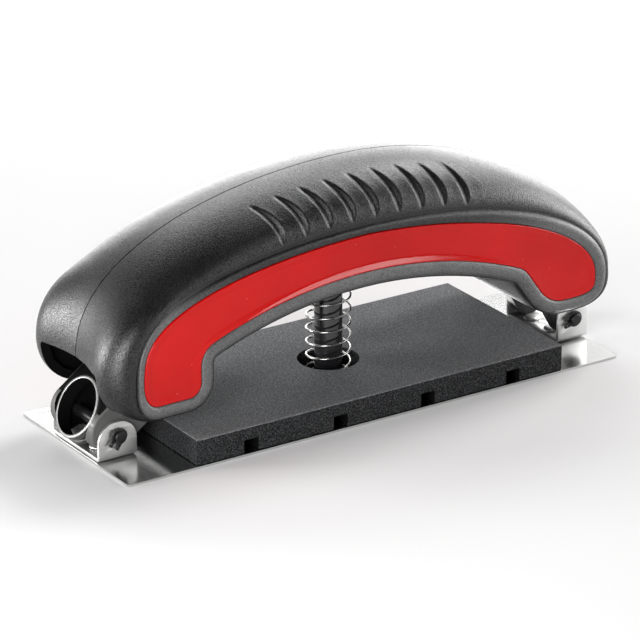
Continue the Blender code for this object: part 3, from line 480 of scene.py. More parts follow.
finishes = {
    "shell": shellFinish("shell plastic", (0.0012, 0.0012, 0.0013), (0.0035, 0.0035, 0.0036), 0.55),
    # the rim's last colour is painted shade over its upper part
    "rim": shellFinish("rim plastic", (0.046, 0.046, 0.047), (0.08, 0.08, 0.081), 0.7, (0.003, 0.003, 0.0032)),
    "cover": coverFinish("red cover", (0.36, 0.0016, 0.0014), (0.46, 0.004, 0.0036), (0.8, 0.35, 0.32)),
    "padTop": foamFinish("pad skin", (0.10, 0.102, 0.105), (0.185, 0.189, 0.194), 1700.0, 0.00012, 1700.0),
    "padSide": foamFinish("pad cut edge", (0.008, 0.0083, 0.0087), (0.040, 0.041, 0.043), 2000.0, 0.0003, 1000.0),
    "sole": metalFinish("polished spring steel", (0.68, 0.68, 0.675), 0.17, streak=(40.0, 2500.0, 40.0), bump=0.04),
    "bracket": metalFinish("bright bracket steel", (0.72, 0.72, 0.71), 0.46, streak=(60.0, 60.0, 1800.0), bump=0.06),
    "spring": metalFinish("spring wire", (0.36, 0.355, 0.345), 0.26, bump=0.02),
    "rod": metalFinish("black rod", (0.01, 0.01, 0.011), 0.13, 0.2, bump=0.02, sheen=1.0),
    "oxide": metalFinish("black steel", (0.018, 0.018, 0.019), 0.34, 0.5, edge=(0.16, 0.16, 0.16), bump=0.12),
    "yoke": metalFinish("brushed yoke", (0.075, 0.075, 0.073), 0.55, 0.3, streak=(900.0, 90.0, 900.0),
                        edge=(0.3, 0.3, 0.29), bump=0.2),
    "nickel": metalFinish("dark nickel", (0.13, 0.13, 0.128), 0.45, 1.0, edge=(0.3, 0.3, 0.295), bump=0.08),
    # near-black finish: painted shade in the seam groove, hollow, notch, ways, channels and sleeve, and a black coat
    # round the yoke's sleeve seat
    "inside": metalFinish("black coat and painted shade", (0.003, 0.003, 0.003), 0.7, 0.0, bump=0.1, sheen=0.05),
    "nylon": shellFinish("bush nylon", (0.02, 0.02, 0.021), (0.03, 0.03, 0.031), 0.3),
}
print("finishes made", len(finishes))


# Handle

handle = {  # outlines of the rim's face and the dome's crest, then the feet, the arch, the section and the hollow
    "face": {"x": 0.8 * mm, "top": 66.8 * mm, "left": -89.8 * mm, "right": 100.3 * mm, "end": 28.8 * mm,
             "leftShape": (1.9, 2.9), "rightShape": (2.0, 2.08), "drop": 0.0},
    "crest": {"x": 5.0 * mm, "top": 83.6 * mm, "left": -97.6 * mm, "right": 105.8 * mm, "end": 32.6 * mm,
              "leftShape": (2.0, 2.3), "rightShape": (2.0, 1.6), "drop": 1.0 * mm},
    "leftCornerShape": (2.4, 2.4), "rightCornerShape": (2.8, 2.8),
    "leftBottom": 16.4 * mm, "rightBottom": 17.6 * mm, "leftTurn": -79.2 * mm, "rightTurn": 85.0 * mm,
    "leftInner": -60.2 * mm, "rightInner": 73.4 * mm, "archLeft": -60.2 * mm, "archRight": 62.2 * mm,
    "archSpring": 33.2 * mm, "archTop": 45.4 * mm,
    "leftFootCorner": 9.5 * mm, "rightFootCorner": 17.0 * mm,
    "leftArchCorner": 3.2 * mm, "rightArchCorner": 5.5 * mm,
    "halfWidth": 25.0 * mm, "seam": 0.2 * mm, "seamDepth": 0.7 * mm, "seamFloor": 0.02 * mm,
    "flare": 2.5 * mm, "bulge": 3.2 * mm, "flareLength": 22.0 * mm, "flareShare": 0.36,
    "shoulder": 1.3 * mm, "valley": 0.9 * mm, "valleyTop": 0.45, "proud": 1.3 * mm, "proudTop": 0.5 * mm,
    "rimLeft": 3.0 * mm, "rimTop": 2.8 * mm, "rimRight": 4.8 * mm, "rimFoot": 4.5 * mm, "rimArch": 5.2 * mm,
    "rimInner": 0.3 * mm, "pocket": 1.6 * mm,
    "underRound": 1.0 * mm, "domePower": 2.12, "leftPower": 5.0, "rightPower": 2.2, "underPower": 5.0,
    "wall": 2.8 * mm, "notchWidth": 36.4 * mm, "notchTop": 33.5 * mm, "notchEnd": -82.5 * mm, "notchCorner": 1.6 * mm,
}
gripTurns = (118.0, 62.0)  # the angles between which the points are close enough for the grip
fine = {"ribs": 46, "corner": 14, "arch": 64, "fillet": 8, "left": (34, 140), "right": (140, 40)}
coarse = {"ribs": 7, "corner": 4, "arch": 8, "fillet": 3, "left": (4, 6), "right": (6, 4)}


def superPoint(centre, reach, shape, turn):
    c, s = math.cos(math.radians(turn)), math.sin(math.radians(turn))
    return Vector((centre[0] + reach[0] * math.copysign(abs(c) ** (2 / shape[0]), c),
                   centre[1] + reach[1] * math.copysign(abs(s) ** (2 / shape[1]), s)))


def upperPoint(form, side, turn):
    # on the outline over the feet, by the angle from the right
    f = handle[form]
    return superPoint((f["x"], f["end"]), (abs(f[side] - f["x"]), f["top"] - f["end"]), f[side + "Shape"], turn)


def footPoint(form, side, turn):
    # on the outer corner of a foot
    h, f = handle, handle[form]
    reach = (abs(f[side] - h[side + "Turn"]), f["end"] - h[side + "Bottom"] + f["drop"])
    return superPoint((h[side + "Turn"], f["end"]), reach, h[side + "CornerShape"], turn)


def spreadTurns(start, middle, end, counts):
    # angles from start to end, at two spacings
    first = [flatMix(start, middle, i / counts[0]) for i in range(counts[0])]
    return first + [flatMix(middle, end, i / counts[1]) for i in range(counts[1])]


def roundCorner(before, corner, after, radius, steps):
    a, b = (before - corner).normalized(), (after - corner).normalized()
    half = a.angle(b) / 2
    middle = corner + (a + b).normalized() * (radius / math.sin(half))
    first = corner + a * (radius / math.tan(half)) - middle
    turn = (math.pi - 2 * half) * (-1 if a.x * b.y - a.y * b.x > 0 else 1)
    points = []
    for i in range(steps + 1):
        c, s = math.cos(turn * i / steps), math.sin(turn * i / steps)
        points.append(middle + Vector((c * first.x - s * first.y, s * first.x + c * first.y)))
    return points


def archPoints(steps):
    h = handle
    middle, half = (h["archLeft"] + h["archRight"]) / 2, (h["archRight"] - h["archLeft"]) / 2
    rise = h["archTop"] - h["archSpring"]
    radius = (half * half + rise * rise) / (2 * rise)
    spread = math.asin(half / radius)
    points = [Vector((h["archRight"], h["archSpring"]))]
    for i in range(1, steps):
        turn = spread * (1 - 2 * i / steps)
        points.append(Vector((middle + radius * math.sin(turn), h["archTop"] - radius * (1 - math.cos(turn)))))
    return points + [Vector((h["archLeft"], h["archSpring"]))]


def sideOutline(grid):
    # the rim's outer edge, clockwise from the left end; each point also knows how much it is dome, left end, right end
    h, points, marks = handle, [], {}
    corner, fillet = grid["corner"], grid["fillet"]

    def add(maker, side, turn, *kind):
        points.append((maker("face", side, turn), maker("crest", side, turn), *kind))

    for turn in spreadTurns(180.0, gripTurns[0], 90.0, grid["left"]):
        add(upperPoint, "left", turn, 1.0, easeShare(1 - (180.0 - turn) / 90.0 / h["flareShare"]), 0.0)
    marks["top"] = len(points)
    for turn in spreadTurns(90.0, gripTurns[1], 0.0, grid["right"]):
        add(upperPoint, "right", turn, 1.0, 0.0, math.sin(math.radians(90.0 - turn)) ** 2)
    marks["end"] = len(points)
    for i in range(corner):
        add(footPoint, "right", -90.0 * i / corner, 1 - i / corner, 0.0, 1.0)
    marks["foot"] = len(points)
    arc = archPoints(grid["arch"])
    right, rightIn, leftIn, left = (Vector((h[side + place], h[side + "Bottom"])) for side, place in (
        ("right", "Turn"), ("right", "Inner"), ("left", "Inner"), ("left", "Turn")))
    lower = [right] + roundCorner(right, rightIn, arc[0], h["rightFootCorner"], fillet)
    lower += roundCorner(rightIn, arc[0], arc[1], h["rightArchCorner"], fillet) + arc[2:-2]
    lower += roundCorner(arc[-2], arc[-1], leftIn, h["leftArchCorner"], fillet)
    lower += roundCorner(arc[-1], leftIn, left, h["leftFootCorner"], fillet)
    points += [(place, None, 0.0, 0.0, 0.0) for place in lower]
    marks["heel"] = len(points)
    for i in range(corner):
        add(footPoint, "left", 270.0 - 90.0 * i / corner, i / corner, 1.0, 0.0)
    face = [p[0] for p in points]
    normals = loopNormals(face)
    crest = [p[1] if p[1] is not None else p[0] + n * h["underRound"] for p, n in zip(points, normals)]
    return face, crest, normals, loopNormals(crest), [p[2:] for p in points], marks


def loopNormals(points):
    normals = []
    for i, point in enumerate(points):
        along = (points[(i + 1) % len(points)] - point).normalized() + (point - points[i - 1]).normalized()
        along.normalize()
        normals.append(Vector((-along.y, along.x)))
    return normals


def rimWidths(marks, count):
    h, widths = handle, []
    knots = [(0, h["rimLeft"]), (marks["top"], h["rimTop"]), (marks["end"], h["rimRight"]),
             (marks["foot"], h["rimFoot"]), (marks["heel"], h["rimFoot"]), (count, h["rimLeft"])]
    for i in range(count):
        width = tableAt(knots, i)
        if marks["foot"] <= i < marks["heel"]:
            share = (i - marks["foot"]) / (marks["heel"] - marks["foot"])
            width += (h["rimArch"] - h["rimFoot"]) * math.sin(math.pi * share)
        widths.append(width)
    return widths


def insetLoop(face, normals, distances, passes=12, crowding=0.3):
    # moves an outline inwards and evens out points that crowd in a tight corner
    flat = [p - n * d for p, n, d in zip(face, normals, distances)]
    count = len(flat)
    for _ in range(passes):
        tight = set()
        for i in range(count):
            j = (i + 1) % count
            step = face[j] - face[i]
            if (flat[j] - flat[i]).dot(step) < crowding * step.length_squared:
                tight.update((i - 1, i, j, (j + 1) % count))
        if not tight:
            break
        flat = [(flat[i - 1] + flat[(i + 1) % count]) / 2 if i in tight or i - count in tight else flat[i]
                for i in range(count)]
    return flat


def flareAt(x, dome):
    # how far the shoulder stands out near the left end
    h = handle
    return h["flare"] * (easeShare((h["crest"]["left"] + h["flareLength"] - x) / h["flareLength"]) * dome)


def ribRings(grid, inset=0.0):
    # the dome's rings, from the middle plane out to the shoulder
    h = handle
    face, crest, normals, crestNormals, kinds, marks = sideOutline(grid)
    rings = []
    for row in range(grid["ribs"] + 1):
        turn = math.pi / 2 * row / grid["ribs"]
        ring = []
        for i, (dome, left, right) in enumerate(kinds):
            power = flatMix(h["domePower"], h["leftPower"], left) + (h["rightPower"] - h["domePower"]) * right
            power = flatMix(h["underPower"], power, dome)
            out = math.sin(turn) ** (2 / power)
            over = 1 - max(math.cos(turn), 0.0) ** (2 / power)
            ridge = face[i] + normals[i] * (h["shoulder"] * dome * (1 - right) - inset)
            start = crest[i] - crestNormals[i] * inset
            place = start + (ridge - start) * over
            place.x -= h["bulge"] * left * dome * math.sin(math.pi * out * out)
            width = h["halfWidth"] + flareAt(start.x, dome) - inset
            ring.append(Vector((place.x, -h["seam"] - (width - h["seam"]) * out, place.y)))
        rings.append(ring)
    return face, normals, kinds, marks, rings


# each row is (share of the width, share of the depth or height)
valleySteps = ((0.2, 0.25), (0.45, 0.6), (0.7, 0.88), (0.9, 1.0), (1.0, 1.0))
rimCrown = 0.48
rimProfile = ((0.03, 0.14), (0.08, 0.34), (0.16, 0.60), (0.25, 0.79), (0.36, 0.93), (rimCrown, 1.0), (0.60, 0.99),
              (0.72, 0.92), (0.83, 0.79), (0.92, 0.62), (0.98, 0.42))

grip = {"count": 9, "pitch": 9.45 * mm, "firstX": -38.0 * mm, "firstLean": 5.4 * mm, "lastLean": 3.2 * mm,
        "bow": 1.5 * mm, "halfWidth": 1.8 * mm, "depth": 1.1 * mm, "start": 0.33, "end": 0.95, "swell": 0.1 * mm,
        "swellPart": 0.8, "taper": 0.55, "tip": 0.35, "flank": 1.2, "margin": 0.05}


def gripDepth(x, share):
    # how deep the dome is carved at x, a share of the way down its side
    g = grip
    along = (share - g["start"]) / (g["end"] - g["start"])
    if not -g["margin"] < along < 1 + g["margin"]:
        return 0.0
    along = min(max(along, 0.0), 1.0)
    taper = math.sin(math.pi * along) ** g["taper"]
    deepest = 0.0
    for number in range(g["count"]):
        lean = flatMix(g["firstLean"], g["lastLean"], number / (g["count"] - 1))
        middle = g["firstX"] + g["pitch"] * number + lean * along + g["bow"] * 4 * along * (1 - along)
        across = (x - middle) / (g["halfWidth"] * (g["tip"] + (1 - g["tip"]) * taper))
        if -1.0 < across < 1.0:
            deepest = max(deepest, g["depth"] * taper * (1 - abs(across) ** g["flank"]))
        wide = (x - middle) / g["pitch"]
        if 0.0 < wide < g["swellPart"]:
            deepest = max(deepest, g["swell"] * taper * math.sin(math.pi * wide / g["swellPart"]) ** 2)
    return deepest


def sideRow(outline, depths):
    return [Vector((p.x, -depth, p.y)) for p, depth in zip(outline, depths)]


def facing(rows, side):
    # rows made for the near side, turned to their own
    return [[Vector((p.x, -side * p.y, p.z)) for p in row] for row in rows]


def shellRows(rings, face, normals, kinds, marks):
    # the dome's rings, the valley, the rim's bead and the pocket's wall
    h, count, half = handle, len(face), handle["halfWidth"]
    widths = rimWidths(marks, count)
    # the halves meet at the bottom of a fine groove
    rows = [[Vector((p.x, -h["seamFloor"], p.z)) for p in ribRings(fine, h["seamDepth"])[4][0]]] + rings
    lows = [h["valley"] * dome * (1 - right) * flatMix(h["valleyTop"], 1.0, left) for dome, left, right in kinds]
    prouds = [flatMix(h["proud"], h["proudTop"], dome * (1 - left) * (1 - right)) for dome, left, right in kinds]
    for share, drop in valleySteps:
        places = [p + n * (h["shoulder"] * dome * (1 - right) * (1 - share))
                  for p, n, (dome, left, right) in zip(face, normals, kinds)]
        rows.append(sideRow(places, [half + flareAt(p.x, kind[0]) * (1 - share) - low * drop
                                     for p, low, kind in zip(places, lows, kinds)]))
    for share, rise in rimProfile:
        flat = insetLoop(face, normals, [w * share for w in widths])
        bases = lows if share < rimCrown else [-h["rimInner"]] * count
        rows.append(sideRow(flat, [flatMix(half - base, half + proud, rise) for base, proud in zip(bases, prouds)]))
    flat = insetLoop(face, normals, widths)
    return rows + [sideRow(flat, [depth] * count) for depth in (half + h["rimInner"], half - h["pocket"])]


def makeShell(name, side, node):
    face, normals, kinds, marks, rings = ribRings(fine)
    count = len(face)
    bm = bmesh.new()
    loft(bm, facing(shellRows(rings, face, normals, kinds, marks), side))
    bmesh.ops.recalc_face_normals(bm, faces=bm.faces[:])
    bm.verts.ensure_lookup_table()
    bm.normal_update()
    moves = []
    for row in range(len(rings)):
        share = row / fine["ribs"]
        if grip["start"] - grip["margin"] < share < 1.0:
            for vert in bm.verts[(row + 1) * count:(row + 1) * count + marks["end"]]:
                depth = gripDepth(vert.co.x, share)
                if depth > 0.0:
                    moves.append((vert, vert.normal * depth))
    for vert, move in moves:
        vert.co -= move
    rimFaces = (len(rings) + 1) * count
    # the seam groove's faces wear the near-black inside finish, painted shade in the groove
    for f in bm.faces:
        low = min(v.index for v in f.verts)
        f.material_index = 0 if count <= low < rimFaces or len(f.verts) > 4 else 1 if low >= rimFaces else 2
    shell = wear(meshFrom(name, bm, mend=False), "shell rim inside")
    carveShell(shell, side)
    dress(shell, "shell rim inside", node, "handle", 32.0)


column = {"x": 1.4 * mm, "radius": 4.85 * mm, "top": 66.5 * mm, "footRadius": 8.0 * mm, "foot": 1.1 * mm,
          "footTop": 2.7 * mm, "springOuter": 8.0 * mm, "wire": 0.8 * mm, "endPitch": 1.35 * mm, "pitch": 4.8 * mm,
          "washer": 0.9 * mm, "bushFlange": 1.8 * mm, "bushLength": 16.0 * mm, "bushWall": 2.0 * mm,
          "housingRise": 1.0 * mm, "collar": 2.0 * mm, "ringGap": 4.0 * mm, "ringThickness": 1.0 * mm,
          "grooveDepth": 0.75 * mm, "round": 0.35 * mm}
onColumn = at((column["x"], 0, 0))
bushBottom = handle["archTop"] - handle["underRound"] - clear - column["bushFlange"]
bushTop = bushBottom + column["bushLength"]
bushRadius = column["radius"] + clear + column["bushWall"]
screws = {"leftFoot": (0, 0), "leftSpan": (-37.0 * mm, 51.5 * mm), "rightSpan": (42.0 * mm, 52.0 * mm)}
screwSize = {"radius": 1.5 * mm, "head": 2.8 * mm, "headHeight": 1.8 * mm, "length": 40.0 * mm, "boss": 3.7 * mm,
             "seat": 0.05 * mm}
past = 2 * mm  # how far a cutter reaches beyond what it cuts

ends = {
    "plateHalf": 99.0 * mm, "edgeGap": 0.5 * mm, "overhang": 1.0 * mm, "leftLength": 14.4 * mm,
    "rightLength": 12.5 * mm, "sheet": 1.2 * mm, "half": 15.5 * mm, "bend": 1.6 * mm, "earTop": 14.2 * mm,
    "leftCorner": 6.6 * mm, "rightCorner": 3.5 * mm, "deck": 1.1 * mm, "pinZ": 9.5 * mm, "pinRadius": 2.0 * mm,
    "pinEnd": 18.0 * mm, "clip": 0.8 * mm, "clipWidth": 1.2 * mm, "clipLug": 1.6 * mm, "clipGroove": 0.6 * mm,
    "eye": 0.42 * mm, "rivetBack": 2.0 * mm, "rivetSpan": 6.0 * mm, "rivetRadius": 1.5 * mm, "rivetHead": 3.0 * mm,
    "rivetHeight": 0.9 * mm, "rivetFoot": 0.15 * mm, "rivetRound": 0.35 * mm, "round": 0.3 * mm,
    "sheetEdge": 0.16 * mm, "clipEdge": 0.12 * mm,
}
leftPinX = -ends["plateHalf"] + ends["edgeGap"] + ends["leftLength"] / 2
rightPinX = ends["plateHalf"] + ends["overhang"] - ends["rightLength"] / 2
yokes = {
    "left": {"x": leftPinX, "lean": 36.0, "length": 28.5 * mm, "screw": 23.5 * mm, "rise": 1.4 * mm, "swell": 1.0 * mm},
    "right": {"x": rightPinX, "lean": 120.0, "length": 21.5 * mm, "screw": 17.0 * mm, "rise": 0.0, "swell": 0.0},
    "cheek": 4.4 * mm, "play": 1.3 * mm, "relief": 5.3 * mm, "edge": 0.7 * mm,
}
yokeRadius = ends["pinZ"] - ends["deck"] - ends["sheet"] - clear
yokeHalf = ends["half"] - ends["sheet"] - clear


def yokeReach(which, reach):
    y = yokes[which]
    turn = math.radians(y["lean"])
    return (y["x"] + reach * math.cos(turn), ends["pinZ"] + reach * math.sin(turn))


for which in ("left", "right"):
    screws[which + "Foot"] = yokeReach(which, yokes[which]["screw"])


def yokeOutline(which, grow=0.0, steps=24):
    y = yokes[which]
    turn = math.radians(y["lean"])
    along = Vector((math.cos(turn), math.sin(turn)))
    across = Vector((-along.y, along.x))
    pin = Vector((y["x"], ends["pinZ"])) + across * y["rise"]
    radius = yokeRadius + y["swell"] + grow
    far = pin + along * (y["length"] + grow)
    points = [far - across * radius, far + across * radius]
    for i in range(steps + 1):
        angle = math.pi * i / steps
        points.append(pin + across * (radius * math.cos(angle)) - along * (radius * math.sin(angle)))
    return points


def wallPlate(bm, outline, low, high):
    # a flat outline in X and Z, pulled along Y
    loft(bm, [[Vector((p[0], y, p[1])) for p in outline] for y in (low, high)])


def boreProfile(radius, low, high):
    return [(0.0, low), (radius, low), (radius, high), (0.0, high)]


def hollowSolid(side):
    h = handle
    depth = h["halfWidth"] - h["pocket"] - h["wall"]
    rings = ribRings(coarse, h["wall"])[4]
    rows = [[Vector((p.x, past, p.z)) for p in rings[0]]]
    for ring in rings[1:-1]:
        if any(p.y > -depth + h["seam"] for p in ring):
            rows.append([Vector((p.x, max(p.y, -depth), p.z)) for p in ring])
    rows.append([Vector((p.x, -depth, p.z)) for p in rings[-1]])
    return solid("hollow", loft, facing(rows, side))


def makeBosses(bm, side, collar):
    h = handle
    wall = h["halfWidth"] - h["pocket"] - h["wall"] / 2
    for label, (x, z) in screws.items():
        low, high = sorted((side * (h["seam"] if "Span" in label else yokeHalf + clear), side * wall))
        rodAcross(bm, x, z, screwSize["boss"], low, high)
    housing = collar + h["wall"]
    low, high = sorted((side * h["seam"], side * housing))
    bottom = h["archTop"] - h["underRound"] + column["housingRise"]
    blockBetween(bm, (column["x"] - housing, low, bottom), (column["x"] + housing, high, bushTop))


def makeScrewHoles(bm, radius, low, high):
    for x, z in screws.values():
        rodAcross(bm, x, z, radius + clear, low, high)


def carveShell(shell, side):
    # the hollow, the bosses and bush seat inside it, then the openings for the column and the two yokes
    h, s = handle, screwSize
    # the faces that a cutter leaves wear its own finish; the hollow, the notch and the yokes' ways leave the near-black
    # inside finish, painted shade in these openings
    carve(shell, wear(hollowSolid(side), "inside"))
    collar = bushRadius + column["bushWall"]
    carve(shell, solid("bosses", makeBosses, side, collar), "UNION")
    middle = bushBottom + column["bushLength"] / 2
    bore, wide, upper = bushRadius + clear, collar + clear, middle + column["collar"] + clear
    profile = [(0.0, bushBottom - past), (bore, bushBottom - past), (bore, middle - clear), (wide, middle - clear),
               (wide, upper), (bore, upper), (bore, bushTop + past), (0.0, bushTop + past)]
    carve(shell, solid("bore", turnProfile, profile, 64, onColumn))
    outline = roundedBox((0.0, 0.0), (h["notchWidth"], h["notchTop"] * 2), h["notchCorner"], 10)
    rows = [[Vector((x, a, b)) for a, b in outline] for x in (h["crest"]["left"] * 1.2, h["notchEnd"])]
    carve(shell, wear(solid("notch", loft, rows), "inside"))
    half = yokeHalf + clear
    for which in ("left", "right"):
        carve(shell, wear(solid("way", wallPlate, yokeOutline(which, yokes["play"]), -half, half), "inside"))
    seat = -h["halfWidth"] + h["pocket"]
    if side < 0:
        carve(shell, solid("screwHoles", makeScrewHoles, s["head"], seat - s["seat"], seat + s["headHeight"] + clear))
        carve(shell, solid("screwHoles", makeScrewHoles, s["radius"], -h["halfWidth"], past))
    else:
        carve(shell, solid("screwHoles", makeScrewHoles, s["radius"], -past, s["length"] + seat))


for label, side in (("near", -1), ("far", 1)):
    makeShell("shell" + label.capitalize(), side, "handle_shell_" + label)
    print(label, "shell made")


# Red covers

cover = {"columns": 300, "rows": 64, "gap": 0.16 * mm, "edge": 0.35 * mm, "front": 0.85 * mm, "dish": 0.5 * mm,
         "lip": 2.3 * mm, "lipStart": 0.2, "lipLength": 0.67, "lean": 0.36, "lipReach": 3.6 * mm,
         "knots": (0.14, 0.5, 0.87), "spacing": 0.1 * mm}


def resample(points, knots, count):
    # places count points along a path so that each knot (index, share) keeps its share
    lengths = [0.0]
    for a, b in zip(points, points[1:]):
        lengths.append(lengths[-1] + (b - a).length)
    table = [(share, lengths[index]) for index, share in knots]
    made = []
    for i in range(count):
        place = tableAt(table, i / (count - 1))
        j = next((k for k in range(1, len(lengths)) if lengths[k] >= place - 1e-12), len(lengths) - 1)
        part = (place - lengths[j - 1]) / max(lengths[j] - lengths[j - 1], 1e-12)
        made.append(points[j - 1].lerp(points[j], min(max(part, 0.0), 1.0)))
    return made


def makeCover(name, side, node):
    h, c = handle, cover
    face, _, normals, _, _, marks = sideOutline(fine)
    count = len(face)
    flat = insetLoop(face, normals, rimWidths(marks, count))
    flat = [p - n * c["gap"] for p, n in zip(flat, loopNormals(flat))]
    outer = flat[marks["heel"]:] + flat[:marks["foot"] + 1]
    inner = list(reversed(flat[marks["foot"] + 1:marks["heel"]]))
    upright = [i for i, p in enumerate(outer) if p.y > h["archSpring"]]
    bend = fine["fillet"] + fine["fillet"] // 2
    innerPeak = min(range(len(inner)), key=lambda i: abs(inner[i].x - h["face"]["x"]))
    paths = ((outer, (upright[0], count - marks["heel"] + marks["top"], upright[-1])),
             (inner, (bend, innerPeak, len(inner) - 1 - bend)))
    outer, inner = (resample(path, [(0, 0.0), *zip(places, c["knots"]), (len(path) - 1, 1.0)], c["columns"])
                    for path, places in paths)
    border = outer + list(reversed(inner))
    spots = []
    for i, place in enumerate(border):
        following = border[(i + 1) % len(border)]
        parts = max(4, math.ceil((following - place).length / c["spacing"]))
        spots += [place.lerp(following, k / parts) for k in range(parts)]
    tree = KDTree(len(spots))
    for i, spot in enumerate(spots):
        tree.insert((spot.x, spot.y, 0.0), i)
    tree.balance()
    back = h["halfWidth"] - h["pocket"] + clear
    front = h["halfWidth"] + c["front"]
    rows = []
    for row in range(c["rows"] + 1):
        share = 0.5 - 0.5 * math.cos(math.pi * (row / c["rows"]))  # closer together near the borders
        line = []
        for i, (a, b) in enumerate(zip(outer, inner)):
            along = (i / (c["columns"] - 1) - c["lipStart"]) / c["lipLength"]
            lip = c["lip"] * math.sin(math.pi * min(max(along, 0.0), 1.0)) ** 0.8
            place = a.lerp(b, share)
            away = tree.find((place.x, place.y, 0.0))[2]
            rounded = min(away / c["edge"], 1.0)
            depth = front - c["edge"] * (1 - math.sqrt(max(1 - (1 - rounded) ** 2, 0.0)))
            # over the arch the lower border is a flat facet that leans out
            lip *= easeShare(share * 3 - 1.4)
            depth -= c["dish"] * easeShare(max(away, lip) / c["lipReach"])
            depth += c["lean"] * max(lip - away, 0.0)
            line.append(Vector((place.x, side * depth, place.y)))
        rows.append(line)
    bm = bmesh.new()
    loft(bm, rows, closed=False, capped=False)
    for vert in vertsOf(bmesh.ops.extrude_edge_only(bm, edges=borders(bm))["geom"]):
        vert.co.y = side * back
    bmesh.ops.holes_fill(bm, edges=borders(bm), sides=0)
    dress(meshFrom(name, bm), "cover", node, "handle", 50.0)


for label, side in (("near", -1), ("far", 1)):
    makeCover("cover" + label.capitalize(), side, "inlay_" + label)
print("covers made")


# Sole: the steel strip and the foam pad, each in two halves, one towards each end

sole = {"half": 99.0 * mm, "width": 35.0 * mm, "thickness": 0.8 * mm, "corner": 1.2 * mm, "bendStart": 12.0 * mm,
        "grid": (60, 24)}
pad = {"middle": 1.4 * mm, "half": 73.9 * mm, "width": 34.6 * mm, "bottom": 1.1 * mm, "height": 9.0 * mm,
       "edge": 0.9 * mm, "round": 0.63 * mm, "bore": 10.7 * mm, "channel": 5.6 * mm, "channelHeight": 4.6 * mm,
       "pitch": 35.3 * mm, "channels": 4, "margin": 0.1 * mm, "grid": (50, 30)}


def flatGrid(bm, low, high, width, bottom, grid):
    bmesh.ops.create_grid(bm, x_segments=grid[0], y_segments=grid[1], size=0.5)
    bmesh.ops.scale(bm, vec=(high - low, width * 2, 1.0), verts=bm.verts[:])
    bmesh.ops.translate(bm, vec=((low + high) / 2, 0, bottom), verts=bm.verts[:])


def thicken(bm, height):
    grown = bmesh.ops.extrude_face_region(bm, geom=bm.faces[:])["geom"]
    bmesh.ops.translate(bm, vec=(0, 0, height), verts=vertsOf(grown))


def bendOut(thing):
    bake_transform(thing)


def rivetHoles(bm, pinX, length):
    for y in (-ends["rivetSpan"], ends["rivetSpan"]):
        roundRod(bm, ends["rivetRadius"] + clear, length, at((pinX - ends["rivetBack"], y, 0)))


def makeStrip(name, side, pinX):
    bm = bmesh.new()
    low, high = sorted((0.0, side * sole["half"]))
    flatGrid(bm, low, high, sole["width"], 0, sole["grid"])
    corners = [v for v in bm.verts if abs(abs(v.co.x) - sole["half"]) < touch
               and abs(abs(v.co.y) - sole["width"]) < touch]
    roundOff(bm, corners, sole["corner"], 4, "VERTICES")
    thicken(bm, sole["thickness"])
    strip = meshFrom(name, bm)
    carve(strip, solid("rivetHoles", rivetHoles, pinX, 4 * mm))
    dress(strip, "sole", "base_plate", None, 30.0)
    bendOut(strip)


def makePad(name, side):
    p = pad
    outer = p["middle"] + side * p["half"]
    low, high = sorted((0.0, outer))
    top, roof = p["bottom"] + p["height"], p["bottom"] + p["channelHeight"]
    bm = bmesh.new()
    flatGrid(bm, low, high, p["width"], p["bottom"], p["grid"])
    thicken(bm, p["height"])

    def onOuter(edge):
        a, b = (v.co for v in edge.verts)
        upper = a.z > top - touch and b.z > top - touch
        sideways = abs(abs(a.y) - p["width"]) < touch and abs(abs(b.y) - p["width"]) < touch
        endways = abs(a.x - outer) < touch and abs(b.x - outer) < touch
        return len(edge.link_faces) == 2 and ((upper and (sideways or endways)) or (sideways and endways))

    roundOff(bm, [edge for edge in bm.edges if onOuter(edge)], p["round"], 3, "EDGES")
    thing = meshFrom(name, bm)
    channels = [p["middle"] + p["pitch"] * (i - (p["channels"] - 1) / 2) for i in range(p["channels"])]
    bm = bmesh.new()
    for x in channels:
        if low - 1 * mm < x < high + 1 * mm:
            blockBetween(bm, (x - p["channel"] / 2, -0.05, -past), (x + p["channel"] / 2, 0.05, roof))
    carve(thing, meshFrom("channels", bm))
    carve(thing, solid("padBore", turnProfile, boreProfile(p["bore"], -past, top + past), 96, onColumn))
    for f in thing.data.polygons:
        middle = f.center
        f.material_index = 0 if f.normal.z > 0.6 and middle.z > top - p["edge"] else 1
        # the channels' inner faces wear the near-black inside finish, painted shade in the slots
        if p["bottom"] + 0.01 * mm < middle.z < roof + p["margin"] and abs(middle.y) < p["width"] - p["margin"] \
                and any(abs(middle.x - x) < p["channel"] / 2 + p["margin"] for x in channels):
            f.material_index = 2  # inside a channel
    dress(thing, "padTop padSide inside", "flex_pad", None, 40.0)
    bendOut(thing)


for label, side, pinX in (("left", -1, leftPinX), ("right", 1, rightPinX)):
    makeStrip("strip" + label.capitalize(), side, pinX)
    makePad("pad" + label.capitalize(), side)
print("sole and pad made")


# Column and spring

def makeColumn():
    c = column
    low = bushTop + c["ringGap"]
    high, groove = low + clear + c["ringThickness"] + clear, c["radius"] - c["grooveDepth"]
    profile = [(0.0, c["foot"]), (c["footRadius"], c["foot"]), (c["footRadius"], c["footTop"]),
               (c["radius"], c["footTop"]), (c["radius"], low), (groove, low), (groove, high), (c["radius"], high),
               (c["radius"], c["top"]), (0.0, c["top"])]
    thing = solid("column", turnProfile, softenProfile(profile, c["round"]), 72, onColumn)
    dress(thing, "rod", "guide_column", "sole", 30.0)


